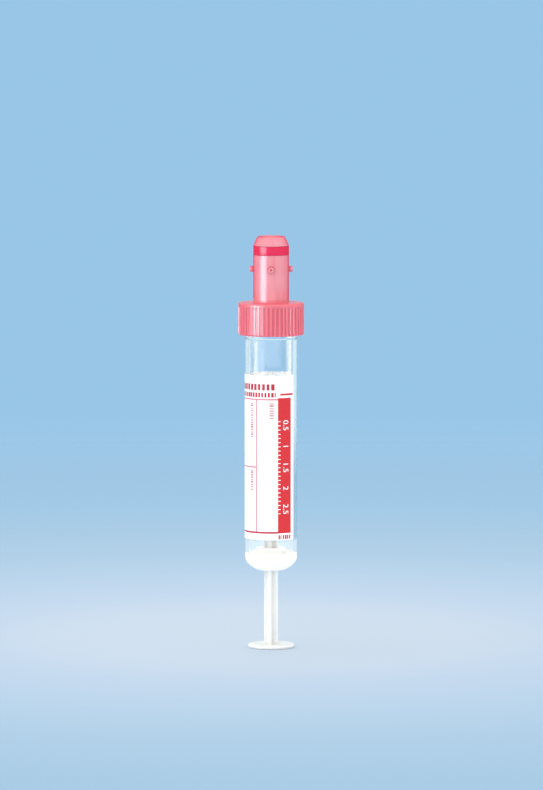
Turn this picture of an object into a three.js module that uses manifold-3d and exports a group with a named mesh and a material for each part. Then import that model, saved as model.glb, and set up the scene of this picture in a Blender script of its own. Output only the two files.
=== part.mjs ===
// A syringe-type blood collection tube, standing upright on the thumb plate of its plunger.
//
// Millimetres, +Z up. The origin is the centre of the thumb plate's underside and the tube's axis
// is the Z axis. The front faces -Y. Angles round the axis are counted from +X towards +Y.
//
// From the floor up: the rod's thumb plate, the rod, the rounded base that the rod runs through,
// the clear barrel with its label, the piston on the rod's barbed head with a heap of beads on it,
// and the screw cap with its nozzle, in which a rubber septum sits.

import * as THREE from 'three';
import { mergeVertices } from 'three/addons/utils/BufferGeometryUtils.js';
import Module from 'manifold-3d';

const wasm = await Module();
wasm.setup();

// ---------------------------------------------------------------------------------------------
// Driving dimensions
// ---------------------------------------------------------------------------------------------

// Barrel.
const BARREL_DIAMETER = 13;
const BARREL_WALL = 1;
const TUBE_LENGTH = 65; // from the base's underside to the barrel's rim
const NECK_LENGTH = 6.6; // the barrel's slimmer end, which the cap covers
const NECK_STEP = 0.1; // how much slimmer the neck is, on the radius
const RIM_CHAMFER = 0.25;

// Plunger.
const ROD_SHOWING = 19.6; // from the floor to the base's underside
const STROKE = 28; // how far the plunger pulls out, for a full sample
const PLATE_DIAMETER = 11.5;
const PLATE_THICKNESS = 0.85;
const PLATE_CHAMFER = 0.15;
const ROD_WIDTH = 3.4; // across two opposite ribs of the cross
const RIB_THICKNESS = 1;
const ROD_TURN = -16; // degrees that the cross is turned from the front
const NOTCH_RADIUS = 0.9; // the waist where the rod is bent off after use
const NOTCH_HEIGHT = 1.2;
const COLLAR_HEIGHT = 0.8;
const HEAD_RADIUS = 2.2; // barb that snaps into the piston
const HEAD_TIP_RADIUS = 1.3;
const HEAD_HEIGHT = 2;
const HEAD_NECK_RADIUS = 1.35;

// Base.
const DOME_DROP = 4; // upright half-axis of the ellipse that rounds the base
const DOME_HEIGHT = 3.5; // how much of it is used, before the flat underside cuts it
const SKIRT_HEIGHT = 1; // straight band above the dome
const SKIRT_WALL = 0.5;
const FLOOR_HEIGHT = 3; // from the base's underside to the floor that the barrel stands on
const BOSS_RADIUS = 3.6;
const BOSS_HEIGHT = 2.7;
const BOSS_UNDERCUT = 0.25;

// Piston.
const PISTON_HEIGHT = 11;
const PISTON_CHAMFER = 0.3;
const LIP_HEIGHT = 1.2; // lip that the rod's barb hooks over
const SEAL_HEIGHT = 2;
const SEAL_DEPTH = 0.9;
const SEAL_BELOW_TOP = 3.2; // from the piston's top to the top of the seal's groove
const SEAL_LIP = 0.45;
const SEAL_WAIST = 0.2;

// Beads.
const BEAD_DIAMETER = 2.4;
const BEAD_COUNT = 42;
const PLACES_TRIED = 400; // places that each bead tries before it takes the lowest
const HEAP_START = 224; // where the run of places starts: another start gives another heap
const HEAP_LEAN = 0.1; // slope of the heap, up towards +X
const GOLDEN_ANGLE = 137.508; // degrees, which spreads a run of places evenly over a disc

// Label.
const LABEL_THICKNESS = 0.08;
const LABEL_ABOVE_BASE = 8.1; // from the base's underside to the label's lower edge
const LABEL_BELOW_CAP = 9.8; // from the label's upper edge to the cap's lower edge
const LABEL_START = 65; // degrees, where the clear window ends at the back
const LABEL_SWEEP = 262;

// Cap.
const CAP_HEIGHT = 8.1;
const CAP_WALL = 0.7; // behind the valleys between the ribs
const CAP_PLATE = 1;
const RIB_COUNT = 48;
const RIB_HEIGHT = 0.27;
const RIB_CREST = 0.44; // flat crest of a rib, as a share of the ribs' pitch
const RIB_FOOT = 0.72; // foot of a rib, as a share of the ribs' pitch
const RIM_BAND = 0.7; // smooth band above the ribs
const CAP_ROUNDING = 0.4;
const THREAD_LEAD = 2.5;
const THREAD_HEIGHT = 0.7;
const THREAD_ROOT_WIDTH = 1.3;
const THREAD_CREST_WIDTH = 0.7;
const THREAD_BELOW_RIM = 1.4; // from the barrel's rim to the middle of its thread's upper end
const GASKET_HEIGHT = 1.2;
const GASKET_OVERHANG = 0.85; // how far the ring reaches inside the barrel's rim

// Nozzle.
const NOZZLE_DIAMETER = 8.94;
const NOZZLE_LENGTH = 11.9; // from the cap's top to the crimson ring
const NOZZLE_FILLET = 0.35;
const RING_HEIGHT = 2.3;
const RING_DEPTH = 0.5;
const TIP_HEIGHT = 2.4;
const TIP_INSET = 1.05; // how much the cone closes in, on the radius
const TIP_ROUNDING = 0.2;
const BORE_RADIUS = 2.5;
const BORE_DEPTH = 7.5; // from the tip to the shoulder that the septum is pushed against
const PEG_DIAMETER = 1.45;
const PEG_PROUD = 0.91;
const PEG_BELOW_RING = 3.5;
const PEG_DIMPLE_RADIUS = 0.35;
const PEG_DIMPLE_DEPTH = 0.2;
const SEPTUM_RADIUS = 3.35;
const SEPTUM_HEIGHT = 4;
const RETAINER_WALL = 1.05;
const RETAINER_FLANGE = 0.9; // thickness of its flange

// Clearances.
const SLIDING_GAP = 0.05; // seal to barrel, and parts that are pushed together
const RUNNING_GAP = 0.15; // piston to barrel, rod to base, thread flank to thread flank
const THREAD_GAP = 0.25; // thread crest to the wall across from it
const HEAD_GAP = 0.1; // between the rod's head and the piston's socket
const FLANGE_GAP = 0.4; // between the retainer's flange and the gasket round it
const STOP_GAP = 0.2; // between the piston and the base at the end of the stroke
const LABEL_GAP = 0.03;
const BEAD_GAP = 0.02;
const EMBED = 0.3; // how far pieces of one moulding reach into each other
const MERGE_DISTANCE = 1e-4; // corners nearer than this are one

// How finely round shapes are faceted.
const FACETS = 36;
const SMALL_FACETS = 16;
const DOME_STEPS = 5;
const RIM_STEPS = 2;
const THREAD_STEPS = 36;

// ---------------------------------------------------------------------------------------------
// Levels and radii worked out from them
// ---------------------------------------------------------------------------------------------

const barrelRadius = BARREL_DIAMETER / 2;
const boreRadius = barrelRadius - BARREL_WALL;
const neckRadius = barrelRadius - NECK_STEP;
const threadRadius = neckRadius + THREAD_HEIGHT;
const boreFlat = boreRadius * Math.cos(Math.PI / FACETS); // nearest that a facet comes to the axis

const rodRadius = Math.hypot(ROD_WIDTH / 2, RIB_THICKNESS / 2); // out to a rib's corners
const holeRadius = rodRadius + RUNNING_GAP;

const baseZ = ROD_SHOWING;
const floorZ = baseZ + FLOOR_HEIGHT;
const bossZ = floorZ + BOSS_HEIGHT;
const skirtZ = baseZ + DOME_HEIGHT + SKIRT_HEIGHT;
const rimZ = baseZ + TUBE_LENGTH;

const pistonZ = floorZ + STROKE + STOP_GAP;
const pistonTopZ = pistonZ + PISTON_HEIGHT;
const lipZ = pistonZ + BOSS_HEIGHT + STOP_GAP;
const lipTopZ = lipZ + LIP_HEIGHT;
const sealTopZ = pistonTopZ - SEAL_BELOW_TOP;
const sealZ = sealTopZ - SEAL_HEIGHT;
const sealGrooveRadius = boreRadius - RUNNING_GAP - SEAL_DEPTH;

const gasketZ = rimZ + SLIDING_GAP;
const plateZ = gasketZ + GASKET_HEIGHT + SLIDING_GAP; // underside of the cap's plate
const capTopZ = plateZ + CAP_PLATE;
const capZ = capTopZ - CAP_HEIGHT;
const gasketRadius = boreRadius - GASKET_OVERHANG; // inner edge of the gasket
const capBoreRadius = threadRadius + RUNNING_GAP;
const valleyRadius = capBoreRadius + CAP_WALL;
const capRadius = valleyRadius + RIB_HEIGHT;

const nozzleRadius = NOZZLE_DIAMETER / 2;
const ringZ = capTopZ + NOZZLE_LENGTH;
const ringTopZ = ringZ + RING_HEIGHT;
const tipZ = ringTopZ + TIP_HEIGHT;
const tipRadius = nozzleRadius - TIP_INSET;
const shoulderZ = tipZ - BORE_DEPTH;
const pocketRadius = SEPTUM_RADIUS + SLIDING_GAP;
const septumTopZ = shoulderZ - SLIDING_GAP;
const septumZ = septumTopZ - SEPTUM_HEIGHT;
const pegZ = ringZ - PEG_BELOW_RING;

// ---------------------------------------------------------------------------------------------
// Tools for making solids
// ---------------------------------------------------------------------------------------------

/** A solid of a closed geometry, ready to be cut or joined. */
function solidOf(geometry) {
  geometry.deleteAttribute('normal');
  geometry.deleteAttribute('uv');
  const merged = mergeVertices(geometry, MERGE_DISTANCE);
  const corners = merged.index.array;
  const triangles = [];
  for (let i = 0; i < corners.length; i += 3) {
    const [a, b, c] = corners.slice(i, i + 3);
    if (a !== b && b !== c && c !== a) {
      triangles.push(a, b, c);
    }
  }
  return new wasm.Manifold(new wasm.Mesh({
    numProp: 3,
    vertProperties: new Float32Array(merged.attributes.position.array),
    triVerts: new Uint32Array(triangles),
  }));
}

/** The geometry of a solid. */
function geometryOf(solid) {
  const mesh = solid.getMesh();
  const geometry = new THREE.BufferGeometry();
  geometry.setAttribute('position', new THREE.BufferAttribute(mesh.vertProperties, 3));
  geometry.setIndex(new THREE.BufferAttribute(mesh.triVerts, 1));
  geometry.computeVertexNormals();
  return geometry;
}

/** A solid turned round the Z axis from an outline of [radius, z] points, counterclockwise. */
function turned(outline, facets = FACETS) {
  const points = outline.map(([radius, z]) => new THREE.Vector2(radius, z));
  const first = points[0];
  if (first.x > 0 || points.at(-1).x > 0) {
    points.push(first.clone());
  }
  return solidOf(new THREE.LatheGeometry(points, facets).rotateX(Math.PI / 2));
}

/** A flat shape of [x, y] points, pushed up from one level to another. */
function raised(outline, fromZ, toZ) {
  const shape = new THREE.Shape(outline.map(([x, y]) => new THREE.Vector2(x, y)));
  const geometry = new THREE.ExtrudeGeometry(shape, { depth: toZ - fromZ, bevelEnabled: false });
  return solidOf(geometry.translate(0, 0, fromZ));
}

/** The point at an angle in degrees on a circle round the axis. */
function onCircle(radius, degrees) {
  const angle = THREE.MathUtils.degToRad(degrees);
  return [radius * Math.cos(angle), radius * Math.sin(angle)];
}

/** Points of a quarter ellipse from the side at sideZ to the end at endZ, both included. */
function rounding(sideRadius, sideZ, endRadius, endZ, steps) {
  const points = [];
  for (let step = 0; step <= steps; step += 1) {
    const angle = (step / steps) * (Math.PI / 2);
    const radius = endRadius + (sideRadius - endRadius) * Math.cos(angle);
    points.push([radius, sideZ + (endZ - sideZ) * Math.sin(angle)]);
  }
  return points;
}

/**
 * One turn of a screw ridge: a flat-topped section wound up the axis with the thread's lead.
 * The section stands from rootRadius towards crestRadius, and topZ is the middle of its upper end.
 */
function ridge(rootRadius, crestRadius, topZ) {
  const outward = Math.sign(crestRadius - rootRadius);
  const section = [
    [rootRadius - outward * EMBED, -THREAD_ROOT_WIDTH / 2],
    [rootRadius, -THREAD_ROOT_WIDTH / 2],
    [crestRadius, -THREAD_CREST_WIDTH / 2],
    [crestRadius, THREAD_CREST_WIDTH / 2],
    [rootRadius, THREAD_ROOT_WIDTH / 2],
    [rootRadius - outward * EMBED, THREAD_ROOT_WIDTH / 2],
  ];
  const shape = new THREE.Shape(section.map(([x, y]) => new THREE.Vector2(x, y)));
  const fullTurn = 2 * Math.PI;
  const options = { depth: fullTurn, steps: THREAD_STEPS, bevelEnabled: false };
  const geometry = new THREE.ExtrudeGeometry(shape, options);
  const points = geometry.attributes.position;
  for (let i = 0; i < points.count; i += 1) {
    const angle = -points.getZ(i);
    const radius = points.getX(i);
    const z = topZ + points.getY(i) + (THREAD_LEAD * angle) / fullTurn;
    points.setXYZ(i, radius * Math.cos(angle), radius * Math.sin(angle), z);
  }
  return solidOf(geometry);
}

// ---------------------------------------------------------------------------------------------
// Finishes
// ---------------------------------------------------------------------------------------------

/** A named finish. */
function finish(name, color, roughness, opacity = 1) {
  const transparent = opacity < 1;
  const settings = { name, color, roughness, metalness: 0, opacity, transparent, flatShading: true };
  return new THREE.MeshStandardMaterial(settings);
}

const whitePlastic = finish('white_plastic', 0xf7f6f4, 0.4);
const clearPlastic = finish('clear_plastic', 0xcfe4f0, 0.12, 0.3);
const capPlastic = finish('cap_plastic', 0xf0808f, 0.35);
const ringPlastic = finish('ring_plastic', 0xe43065, 0.35);
const blackRubber = finish('seal_rubber', 0x303236, 0.75);
const paleRubber = finish('pale_rubber', 0xd9d4cc, 0.8);
const labelPaper = finish('label_paper', 0xfdfdfd, 0.6);
const beadPlastic = finish('bead_plastic', 0xf2f3f2, 0.55);

// ---------------------------------------------------------------------------------------------
// Pieces
// ---------------------------------------------------------------------------------------------

/** The cross-shaped section of the rod's stem. */
function crossOutline() {
  const reach = ROD_WIDTH / 2;
  const half = RIB_THICKNESS / 2;
  const arm = [[reach, -half], [reach, half], [half, half]];
  const outline = [];
  for (let quarter = 0; quarter < 4; quarter += 1) {
    for (const [x, y] of arm) {
      const [radius, angle] = [Math.hypot(x, y), THREE.MathUtils.radToDeg(Math.atan2(y, x))];
      outline.push(onCircle(radius, angle + quarter * 90 + ROD_TURN));
    }
  }
  return outline;
}

/** Thumb plate, cross-shaped stem with its break notch, and the barbed head: one moulding. */
function plungerRod() {
  const plate = turned([
    [0, 0],
    [PLATE_DIAMETER / 2 - PLATE_CHAMFER, 0],
    [PLATE_DIAMETER / 2, PLATE_CHAMFER],
    [PLATE_DIAMETER / 2, PLATE_THICKNESS - PLATE_CHAMFER],
    [PLATE_DIAMETER / 2 - PLATE_CHAMFER, PLATE_THICKNESS],
    [0, PLATE_THICKNESS],
  ]);
  const notchZ = baseZ + STROKE - NOTCH_HEIGHT / 2;
  const collarTopZ = lipZ - HEAD_GAP;
  const collarZ = collarTopZ - COLLAR_HEIGHT;
  const lowerStem = raised(crossOutline(), PLATE_THICKNESS - EMBED, notchZ);
  const upperStem = raised(crossOutline(), notchZ + NOTCH_HEIGHT, collarZ + EMBED);
  const notch = turned([
    [0, notchZ - EMBED],
    [NOTCH_RADIUS, notchZ - EMBED],
    [NOTCH_RADIUS, notchZ + NOTCH_HEIGHT + EMBED],
    [0, notchZ + NOTCH_HEIGHT + EMBED],
  ], SMALL_FACETS);
  const headZ = lipTopZ + HEAD_GAP;
  const head = turned([
    [0, collarZ],
    [rodRadius, collarZ],
    [rodRadius, collarTopZ],
    [HEAD_NECK_RADIUS, collarTopZ],
    [HEAD_NECK_RADIUS, headZ],
    [HEAD_RADIUS, headZ],
    [HEAD_TIP_RADIUS, headZ + HEAD_HEIGHT],
    [0, headZ + HEAD_HEIGHT],
  ], SMALL_FACETS);
  return plate.add(lowerStem).add(notch).add(upperStem).add(head);
}

/** The rounded base: dome, skirt round the barrel's end, floor, and the boss the rod runs in. */
function tubeBase() {
  const equatorZ = baseZ + DOME_HEIGHT;
  const cutAngle = Math.asin(DOME_HEIGHT / DOME_DROP);
  const dome = [];
  for (let step = 0; step <= DOME_STEPS; step += 1) {
    const angle = cutAngle * (1 - step / DOME_STEPS);
    dome.push([barrelRadius * Math.cos(angle), equatorZ - DOME_DROP * Math.sin(angle)]);
  }
  const bossNeck = BOSS_RADIUS - BOSS_UNDERCUT;
  return turned([
    [holeRadius, baseZ],
    ...dome,
    [barrelRadius, skirtZ],
    [barrelRadius - SKIRT_WALL, skirtZ],
    [barrelRadius - SKIRT_WALL, floorZ],
    [bossNeck, floorZ],
    [bossNeck, bossZ - 4 * BOSS_UNDERCUT],
    [BOSS_RADIUS, bossZ - 3 * BOSS_UNDERCUT],
    [BOSS_RADIUS, bossZ - BOSS_UNDERCUT],
    [bossNeck, bossZ],
    [holeRadius, bossZ],
  ]);
}

/** The clear barrel: spigot behind the base's skirt, straight wall, and the threaded neck. */
function tubeBarrel() {
  const spigotRadius = barrelRadius - SKIRT_WALL - SLIDING_GAP;
  const spigotZ = floorZ + SLIDING_GAP;
  const neckZ = rimZ - NECK_LENGTH;
  const wall = turned([
    [boreRadius, spigotZ],
    [spigotRadius, spigotZ],
    [spigotRadius, skirtZ],
    [barrelRadius, skirtZ],
    [barrelRadius, neckZ],
    [neckRadius, neckZ + NECK_STEP],
    [neckRadius, rimZ - RIM_CHAMFER],
    [neckRadius - RIM_CHAMFER, rimZ],
    [boreRadius + RIM_CHAMFER, rimZ],
    [boreRadius, rimZ - RIM_CHAMFER],
  ]);
  return wall.add(ridge(neckRadius, threadRadius, rimZ - THREAD_BELOW_RIM));
}

/** The paper label, wrapped round the barrel with a clear window left open. */
function label() {
  const inner = barrelRadius + LABEL_GAP;
  const outer = inner + LABEL_THICKNESS;
  const steps = Math.round((LABEL_SWEEP / 360) * FACETS);
  const outline = [];
  for (let step = 0; step <= steps; step += 1) {
    outline.push(onCircle(outer, LABEL_START + (LABEL_SWEEP * step) / steps));
  }
  for (let step = steps; step >= 0; step -= 1) {
    outline.push(onCircle(inner, LABEL_START + (LABEL_SWEEP * step) / steps));
  }
  return raised(outline, baseZ + LABEL_ABOVE_BASE, capZ - LABEL_BELOW_CAP);
}

/** The piston: a socket below for the base's boss and the rod's head, and the seal's groove. */
function piston() {
  const outer = boreRadius - RUNNING_GAP;
  const socketRadius = BOSS_RADIUS + RUNNING_GAP;
  const lipRadius = HEAD_NECK_RADIUS + HEAD_GAP;
  const chamberTopZ = lipTopZ + HEAD_HEIGHT + 2 * HEAD_GAP;
  return turned([
    [0, chamberTopZ],
    [HEAD_TIP_RADIUS + HEAD_GAP, chamberTopZ],
    [HEAD_RADIUS + 2 * HEAD_GAP, lipTopZ],
    [lipRadius, lipTopZ],
    [lipRadius, lipZ],
    [socketRadius, lipZ],
    [socketRadius, pistonZ],
    [outer - PISTON_CHAMFER, pistonZ],
    [outer, pistonZ + PISTON_CHAMFER],
    [outer, sealZ],
    [sealGrooveRadius, sealZ],
    [sealGrooveRadius, sealTopZ],
    [outer, sealTopZ],
    [outer, pistonTopZ - PISTON_CHAMFER],
    [outer - PISTON_CHAMFER, pistonTopZ],
    [0, pistonTopZ],
  ]);
}

/** The rubber ring in the piston's groove, with a wiping lip at each edge. */
function pistonSeal() {
  const inner = sealGrooveRadius + SLIDING_GAP;
  const lip = boreFlat - SLIDING_GAP / 2;
  const [low, high] = [sealZ + SLIDING_GAP, sealTopZ - SLIDING_GAP];
  return turned([
    [inner, low],
    [lip, low],
    [lip, low + SEAL_LIP],
    [lip - SEAL_WAIST, (low + high) / 2],
    [lip, high - SEAL_LIP],
    [lip, high],
    [inner, high],
  ]);
}

/** The flat ring that the cap presses on the barrel's rim. */
function capGasket() {
  const outer = capBoreRadius * Math.cos(Math.PI / FACETS) - SLIDING_GAP;
  return turned([
    [gasketRadius, gasketZ],
    [outer, gasketZ],
    [outer, gasketZ + GASKET_HEIGHT],
    [gasketRadius, gasketZ + GASKET_HEIGHT],
  ]);
}

/** The outline of the cap's grip: flat-topped ribs with flat valleys between them. */
function gripOutline() {
  const pitch = 360 / RIB_COUNT;
  const crest = (pitch * RIB_CREST) / 2;
  const foot = (pitch * RIB_FOOT) / 2;
  const outline = [];
  for (let rib = 0; rib < RIB_COUNT; rib += 1) {
    const middle = rib * pitch;
    outline.push(onCircle(valleyRadius, middle - foot));
    outline.push(onCircle(capRadius, middle - crest));
    outline.push(onCircle(capRadius, middle + crest));
    outline.push(onCircle(valleyRadius, middle + foot));
  }
  return outline;
}

/** One of the round pegs on the nozzle, with the dimple in its face, pointing along +X. */
function peg() {
  const end = nozzleRadius + PEG_PROUD;
  const start = pocketRadius + (nozzleRadius - pocketRadius) / 2;
  const outline = [
    [0, start],
    [PEG_DIAMETER / 2, start],
    [PEG_DIAMETER / 2, end],
    [PEG_DIMPLE_RADIUS, end],
    [0, end - PEG_DIMPLE_DEPTH],
  ];
  return turned(outline, SMALL_FACETS).rotate([0, 90, 0]).translate([0, 0, pegZ]);
}

/** The screw cap and its nozzle: ribbed skirt, thread, plate, pegs, groove, tip and bore. */
function screwCap() {
  const gripTopZ = capTopZ - RIM_BAND;
  const coreRadius = valleyRadius - SLIDING_GAP;
  const skirt = turned([
    [0, capZ],
    [coreRadius - CAP_ROUNDING, capZ],
    [coreRadius, capZ + CAP_ROUNDING],
    [coreRadius, gripTopZ],
    ...rounding(capRadius, gripTopZ, capRadius - CAP_ROUNDING, capTopZ, RIM_STEPS),
    [nozzleRadius + NOZZLE_FILLET, capTopZ],
    [nozzleRadius, capTopZ + NOZZLE_FILLET],
    [nozzleRadius, ringZ],
    [nozzleRadius - RING_DEPTH, ringZ],
    [nozzleRadius - RING_DEPTH, ringTopZ],
    [nozzleRadius, ringTopZ],
    [tipRadius, tipZ - TIP_ROUNDING],
    [tipRadius - TIP_ROUNDING, tipZ],
    [0, tipZ],
  ]);
  const grip = raised(gripOutline(), capZ + CAP_ROUNDING, gripTopZ);
  const inside = turned([
    [0, capZ - EMBED],
    [capBoreRadius, capZ - EMBED],
    [capBoreRadius, plateZ],
    [pocketRadius, plateZ],
    [pocketRadius, shoulderZ],
    [BORE_RADIUS, shoulderZ],
    [BORE_RADIUS, tipZ + EMBED],
    [0, tipZ + EMBED],
  ]);
  const flankGap = (THREAD_ROOT_WIDTH + THREAD_CREST_WIDTH) / 2 + RUNNING_GAP;
  const crestRadius = neckRadius + THREAD_GAP;
  const thread = ridge(capBoreRadius, crestRadius, rimZ - THREAD_BELOW_RIM - flankGap);
  let cap = skirt.add(grip).subtract(inside).add(thread);
  for (let quarter = 0; quarter < 4; quarter += 1) {
    cap = cap.add(peg().rotate([0, 0, quarter * 90]));
  }
  return cap;
}

/** The crimson ring, set flush in the nozzle's groove. */
function colourRing() {
  return turned([
    [nozzleRadius - RING_DEPTH + SLIDING_GAP, ringZ + SLIDING_GAP],
    [nozzleRadius, ringZ + SLIDING_GAP],
    [nozzleRadius, ringTopZ - SLIDING_GAP],
    [nozzleRadius - RING_DEPTH + SLIDING_GAP, ringTopZ - SLIDING_GAP],
  ]);
}

/** The rubber plug in the nozzle that the needle pierces. */
function septum() {
  return turned([
    [0, septumZ],
    [SEPTUM_RADIUS, septumZ],
    [SEPTUM_RADIUS, septumTopZ],
    [0, septumTopZ],
  ]);
}

/** The flanged sleeve that is pushed in from below and holds the septum against its shoulder. */
function septumRetainer() {
  const outer = SEPTUM_RADIUS;
  const flangeRadius = gasketRadius - FLANGE_GAP;
  const flangeTopZ = plateZ - SLIDING_GAP;
  const topZ = septumZ - SLIDING_GAP;
  return turned([
    [outer - RETAINER_WALL, flangeTopZ - RETAINER_FLANGE],
    [flangeRadius, flangeTopZ - RETAINER_FLANGE],
    [flangeRadius, flangeTopZ],
    [outer, flangeTopZ],
    [outer, topZ],
    [outer - RETAINER_WALL, topZ],
  ]);
}

/** Centres of the beads: each one in turn takes the best of the places that it tries. */
function beadCentres() {
  const spacing = BEAD_DIAMETER + BEAD_GAP;
  const reach = boreFlat - BEAD_DIAMETER / 2 - BEAD_GAP;
  const restOn = ([x, y, z], [overX, overY]) => {
    const apart = spacing ** 2 - (overX - x) ** 2 - (overY - y) ** 2;
    return apart > 0 ? z + Math.sqrt(apart) : -Infinity;
  };
  const centres = [];
  for (let bead = 0; bead < BEAD_COUNT; bead += 1) {
    let best = [];
    let bestLevel = Infinity;
    for (let attempt = 0; attempt < PLACES_TRIED; attempt += 1) {
      const turn = HEAP_START + bead * PLACES_TRIED + attempt;
      const share = (turn * Math.SQRT2) % 1;
      const [x, y] = onCircle(reach * Math.sqrt(share), turn * GOLDEN_ANGLE);
      const supports = centres.map((centre) => restOn(centre, [x, y]));
      const z = Math.max(pistonTopZ + BEAD_GAP + BEAD_DIAMETER / 2, ...supports);
      const level = z - HEAP_LEAN * x;
      if (level < bestLevel) {
        best = [x, y, z];
        bestLevel = level;
      }
    }
    centres.push(best);
  }
  return centres;
}

// ---------------------------------------------------------------------------------------------
// The assembly
// ---------------------------------------------------------------------------------------------

/** A named piece. */
function piece(name, solid, material) {
  const mesh = new THREE.Mesh(geometryOf(solid), material);
  mesh.name = name;
  return mesh;
}

const plunger = new THREE.Group();
plunger.add(piece('plunger_rod', plungerRod(), whitePlastic));
plunger.add(piece('piston', piston(), whitePlastic));
plunger.add(piece('piston_seal', pistonSeal(), blackRubber));

const tube = new THREE.Group();
tube.add(piece('tube_base', tubeBase(), whitePlastic));
tube.add(piece('tube_barrel', tubeBarrel(), clearPlastic));
tube.add(piece('label', label(), labelPaper));

const closure = new THREE.Group();
closure.add(piece('cap_gasket', capGasket(), paleRubber));
closure.add(piece('screw_cap', screwCap(), capPlastic));
closure.add(piece('colour_ring', colourRing(), ringPlastic));
closure.add(piece('septum', septum(), paleRubber));
closure.add(piece('septum_retainer', septumRetainer(), whitePlastic));

const beads = new THREE.Group();
beadCentres().forEach((centre, order) => {
  const bead = new THREE.Mesh(new THREE.IcosahedronGeometry(BEAD_DIAMETER / 2, 1), beadPlastic);
  bead.name = `bead_${String(order + 1).padStart(2, '0')}`;
  bead.position.set(...centre);
  beads.add(bead);
});

const bloodCollectionTube = new THREE.Group();
bloodCollectionTube.name = 'blood_collection_tube';
bloodCollectionTube.add(plunger, tube, closure, beads);

export default bloodCollectionTube;
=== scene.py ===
"""The looks of a syringe-type blood collection tube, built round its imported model.

Meshes are made in millimetres in the model's own frame and scaled to metres when they are finished:
+Z is up, the tube's axis is the Z axis and the front faces -Y. Angles round the axis are degrees from
+X towards +Y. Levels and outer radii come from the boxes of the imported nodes. What a box can't tell,
such as a wall or a rounding, is a field of the sub-assembly that it belongs to.
"""

import logging
import math
from collections.abc import Callable, Iterable, Sequence
from dataclasses import dataclass, field
from enum import Enum
from functools import lru_cache

import bmesh
import bpy
from mathutils import Matrix, Vector, noise


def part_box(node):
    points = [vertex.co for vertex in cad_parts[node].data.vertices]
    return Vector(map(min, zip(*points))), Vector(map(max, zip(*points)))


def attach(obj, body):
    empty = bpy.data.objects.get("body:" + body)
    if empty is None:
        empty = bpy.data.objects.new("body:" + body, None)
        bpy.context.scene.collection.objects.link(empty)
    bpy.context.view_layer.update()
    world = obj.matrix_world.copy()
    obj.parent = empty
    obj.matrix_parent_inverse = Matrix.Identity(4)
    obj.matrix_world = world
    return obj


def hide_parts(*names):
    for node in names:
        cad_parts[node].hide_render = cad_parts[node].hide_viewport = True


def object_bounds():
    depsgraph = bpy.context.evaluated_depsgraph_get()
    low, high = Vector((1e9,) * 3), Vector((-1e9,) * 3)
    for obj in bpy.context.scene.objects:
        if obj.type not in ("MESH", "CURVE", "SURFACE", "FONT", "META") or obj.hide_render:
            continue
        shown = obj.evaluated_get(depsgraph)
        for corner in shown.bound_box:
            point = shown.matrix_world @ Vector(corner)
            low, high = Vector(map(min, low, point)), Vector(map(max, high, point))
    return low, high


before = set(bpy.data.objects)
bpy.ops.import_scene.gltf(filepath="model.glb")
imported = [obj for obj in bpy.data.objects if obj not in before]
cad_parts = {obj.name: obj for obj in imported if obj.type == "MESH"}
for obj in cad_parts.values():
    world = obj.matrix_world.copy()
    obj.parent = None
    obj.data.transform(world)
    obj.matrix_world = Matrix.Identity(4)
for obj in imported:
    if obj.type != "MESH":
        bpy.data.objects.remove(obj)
CAD_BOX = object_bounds()

MM = 0.001  # in metres
MERGE = 1e-4  # corners nearer than this are one
ARC_STEPS = 4  # facets of a rounded corner
ROUND = 144  # facets round a turned piece
UP = Vector((0, 0, 1))
ORIGIN = Vector((0, 0, 0))
FRONT = 270.0  # the angle of -Y
SLIDING_GAP = 0.05  # between parts that are pushed together

BEADS = sorted(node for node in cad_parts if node.startswith("bead_"))

log = logging.getLogger("tube")

Outline = Sequence[tuple[float, ...]]  # corners as (radius, height) or (radius, height, rounding)
Colour = tuple[float, float, float, float]  # linear, with alpha last

LIGHT: Colour = (1.0, 1.0, 1.0, 1.0)
DARK: Colour = (0.0, 0.0, 0.0, 1.0)


class Body(Enum):
    """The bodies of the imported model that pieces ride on."""

    ROD = "rod"
    PISTON = "piston"
    TUBE = "tube"
    GASKET = "gasket"
    CAP = "cap"


class Slot(Enum):
    """The record's material slots."""

    WHITE = "white_plastic"
    CLEAR = "clear_plastic"
    CAP = "cap_plastic"
    RING = "ring_plastic"
    SEAL = "seal_rubber"
    PALE = "pale_rubber"
    PAPER = "label_paper"
    BEAD = "bead_plastic"


# ------------------------------------------------------------------------------------- measuring


@dataclass(frozen=True)
class Extent:
    """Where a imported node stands, in millimetres."""

    low: Vector
    high: Vector

    @classmethod
    def of(cls, node: str) -> "Extent":
        """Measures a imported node."""
        low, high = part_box(node)
        return cls(low / MM, high / MM)

    @property
    def radius(self) -> float:
        """Half of its width."""
        return (self.high.x - self.low.x) / 2

    @property
    def bottom(self) -> float:
        """Its lowest level."""
        return self.low.z

    @property
    def top(self) -> float:
        """Its highest level."""
        return self.high.z

    @property
    def centre(self) -> Vector:
        """The middle of its box."""
        return (self.low + self.high) / 2


def smooth_step(low: float, high: float, value: float) -> float:
    """Rises smoothly from 0 at low to 1 at high."""
    share = min(1.0, max(0.0, (value - low) / (high - low)))
    return share * share * (3 - 2 * share)


def linear(code: str) -> Colour:
    """Turns a colour written as six hexadecimal digits into linear RGBA."""
    parts = [int(code[i : i + 2], 16) / 255 for i in (0, 2, 4)]
    return (*(p / 12.92 if p <= 0.04045 else ((p + 0.055) / 1.055) ** 2.4 for p in parts), 1.0)


def band(
    inner: float, outer: float, bottom: float, top: float, inside: float = 0.0, outside: float = 0.0
) -> Outline:
    """The outline of a plain ring, with a rounding for its inner and its outer edges."""
    return [(inner, bottom, inside), (outer, bottom, outside), (outer, top, outside), (inner, top, inside)]


# --------------------------------------------------------------------------------------- shaping


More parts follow.
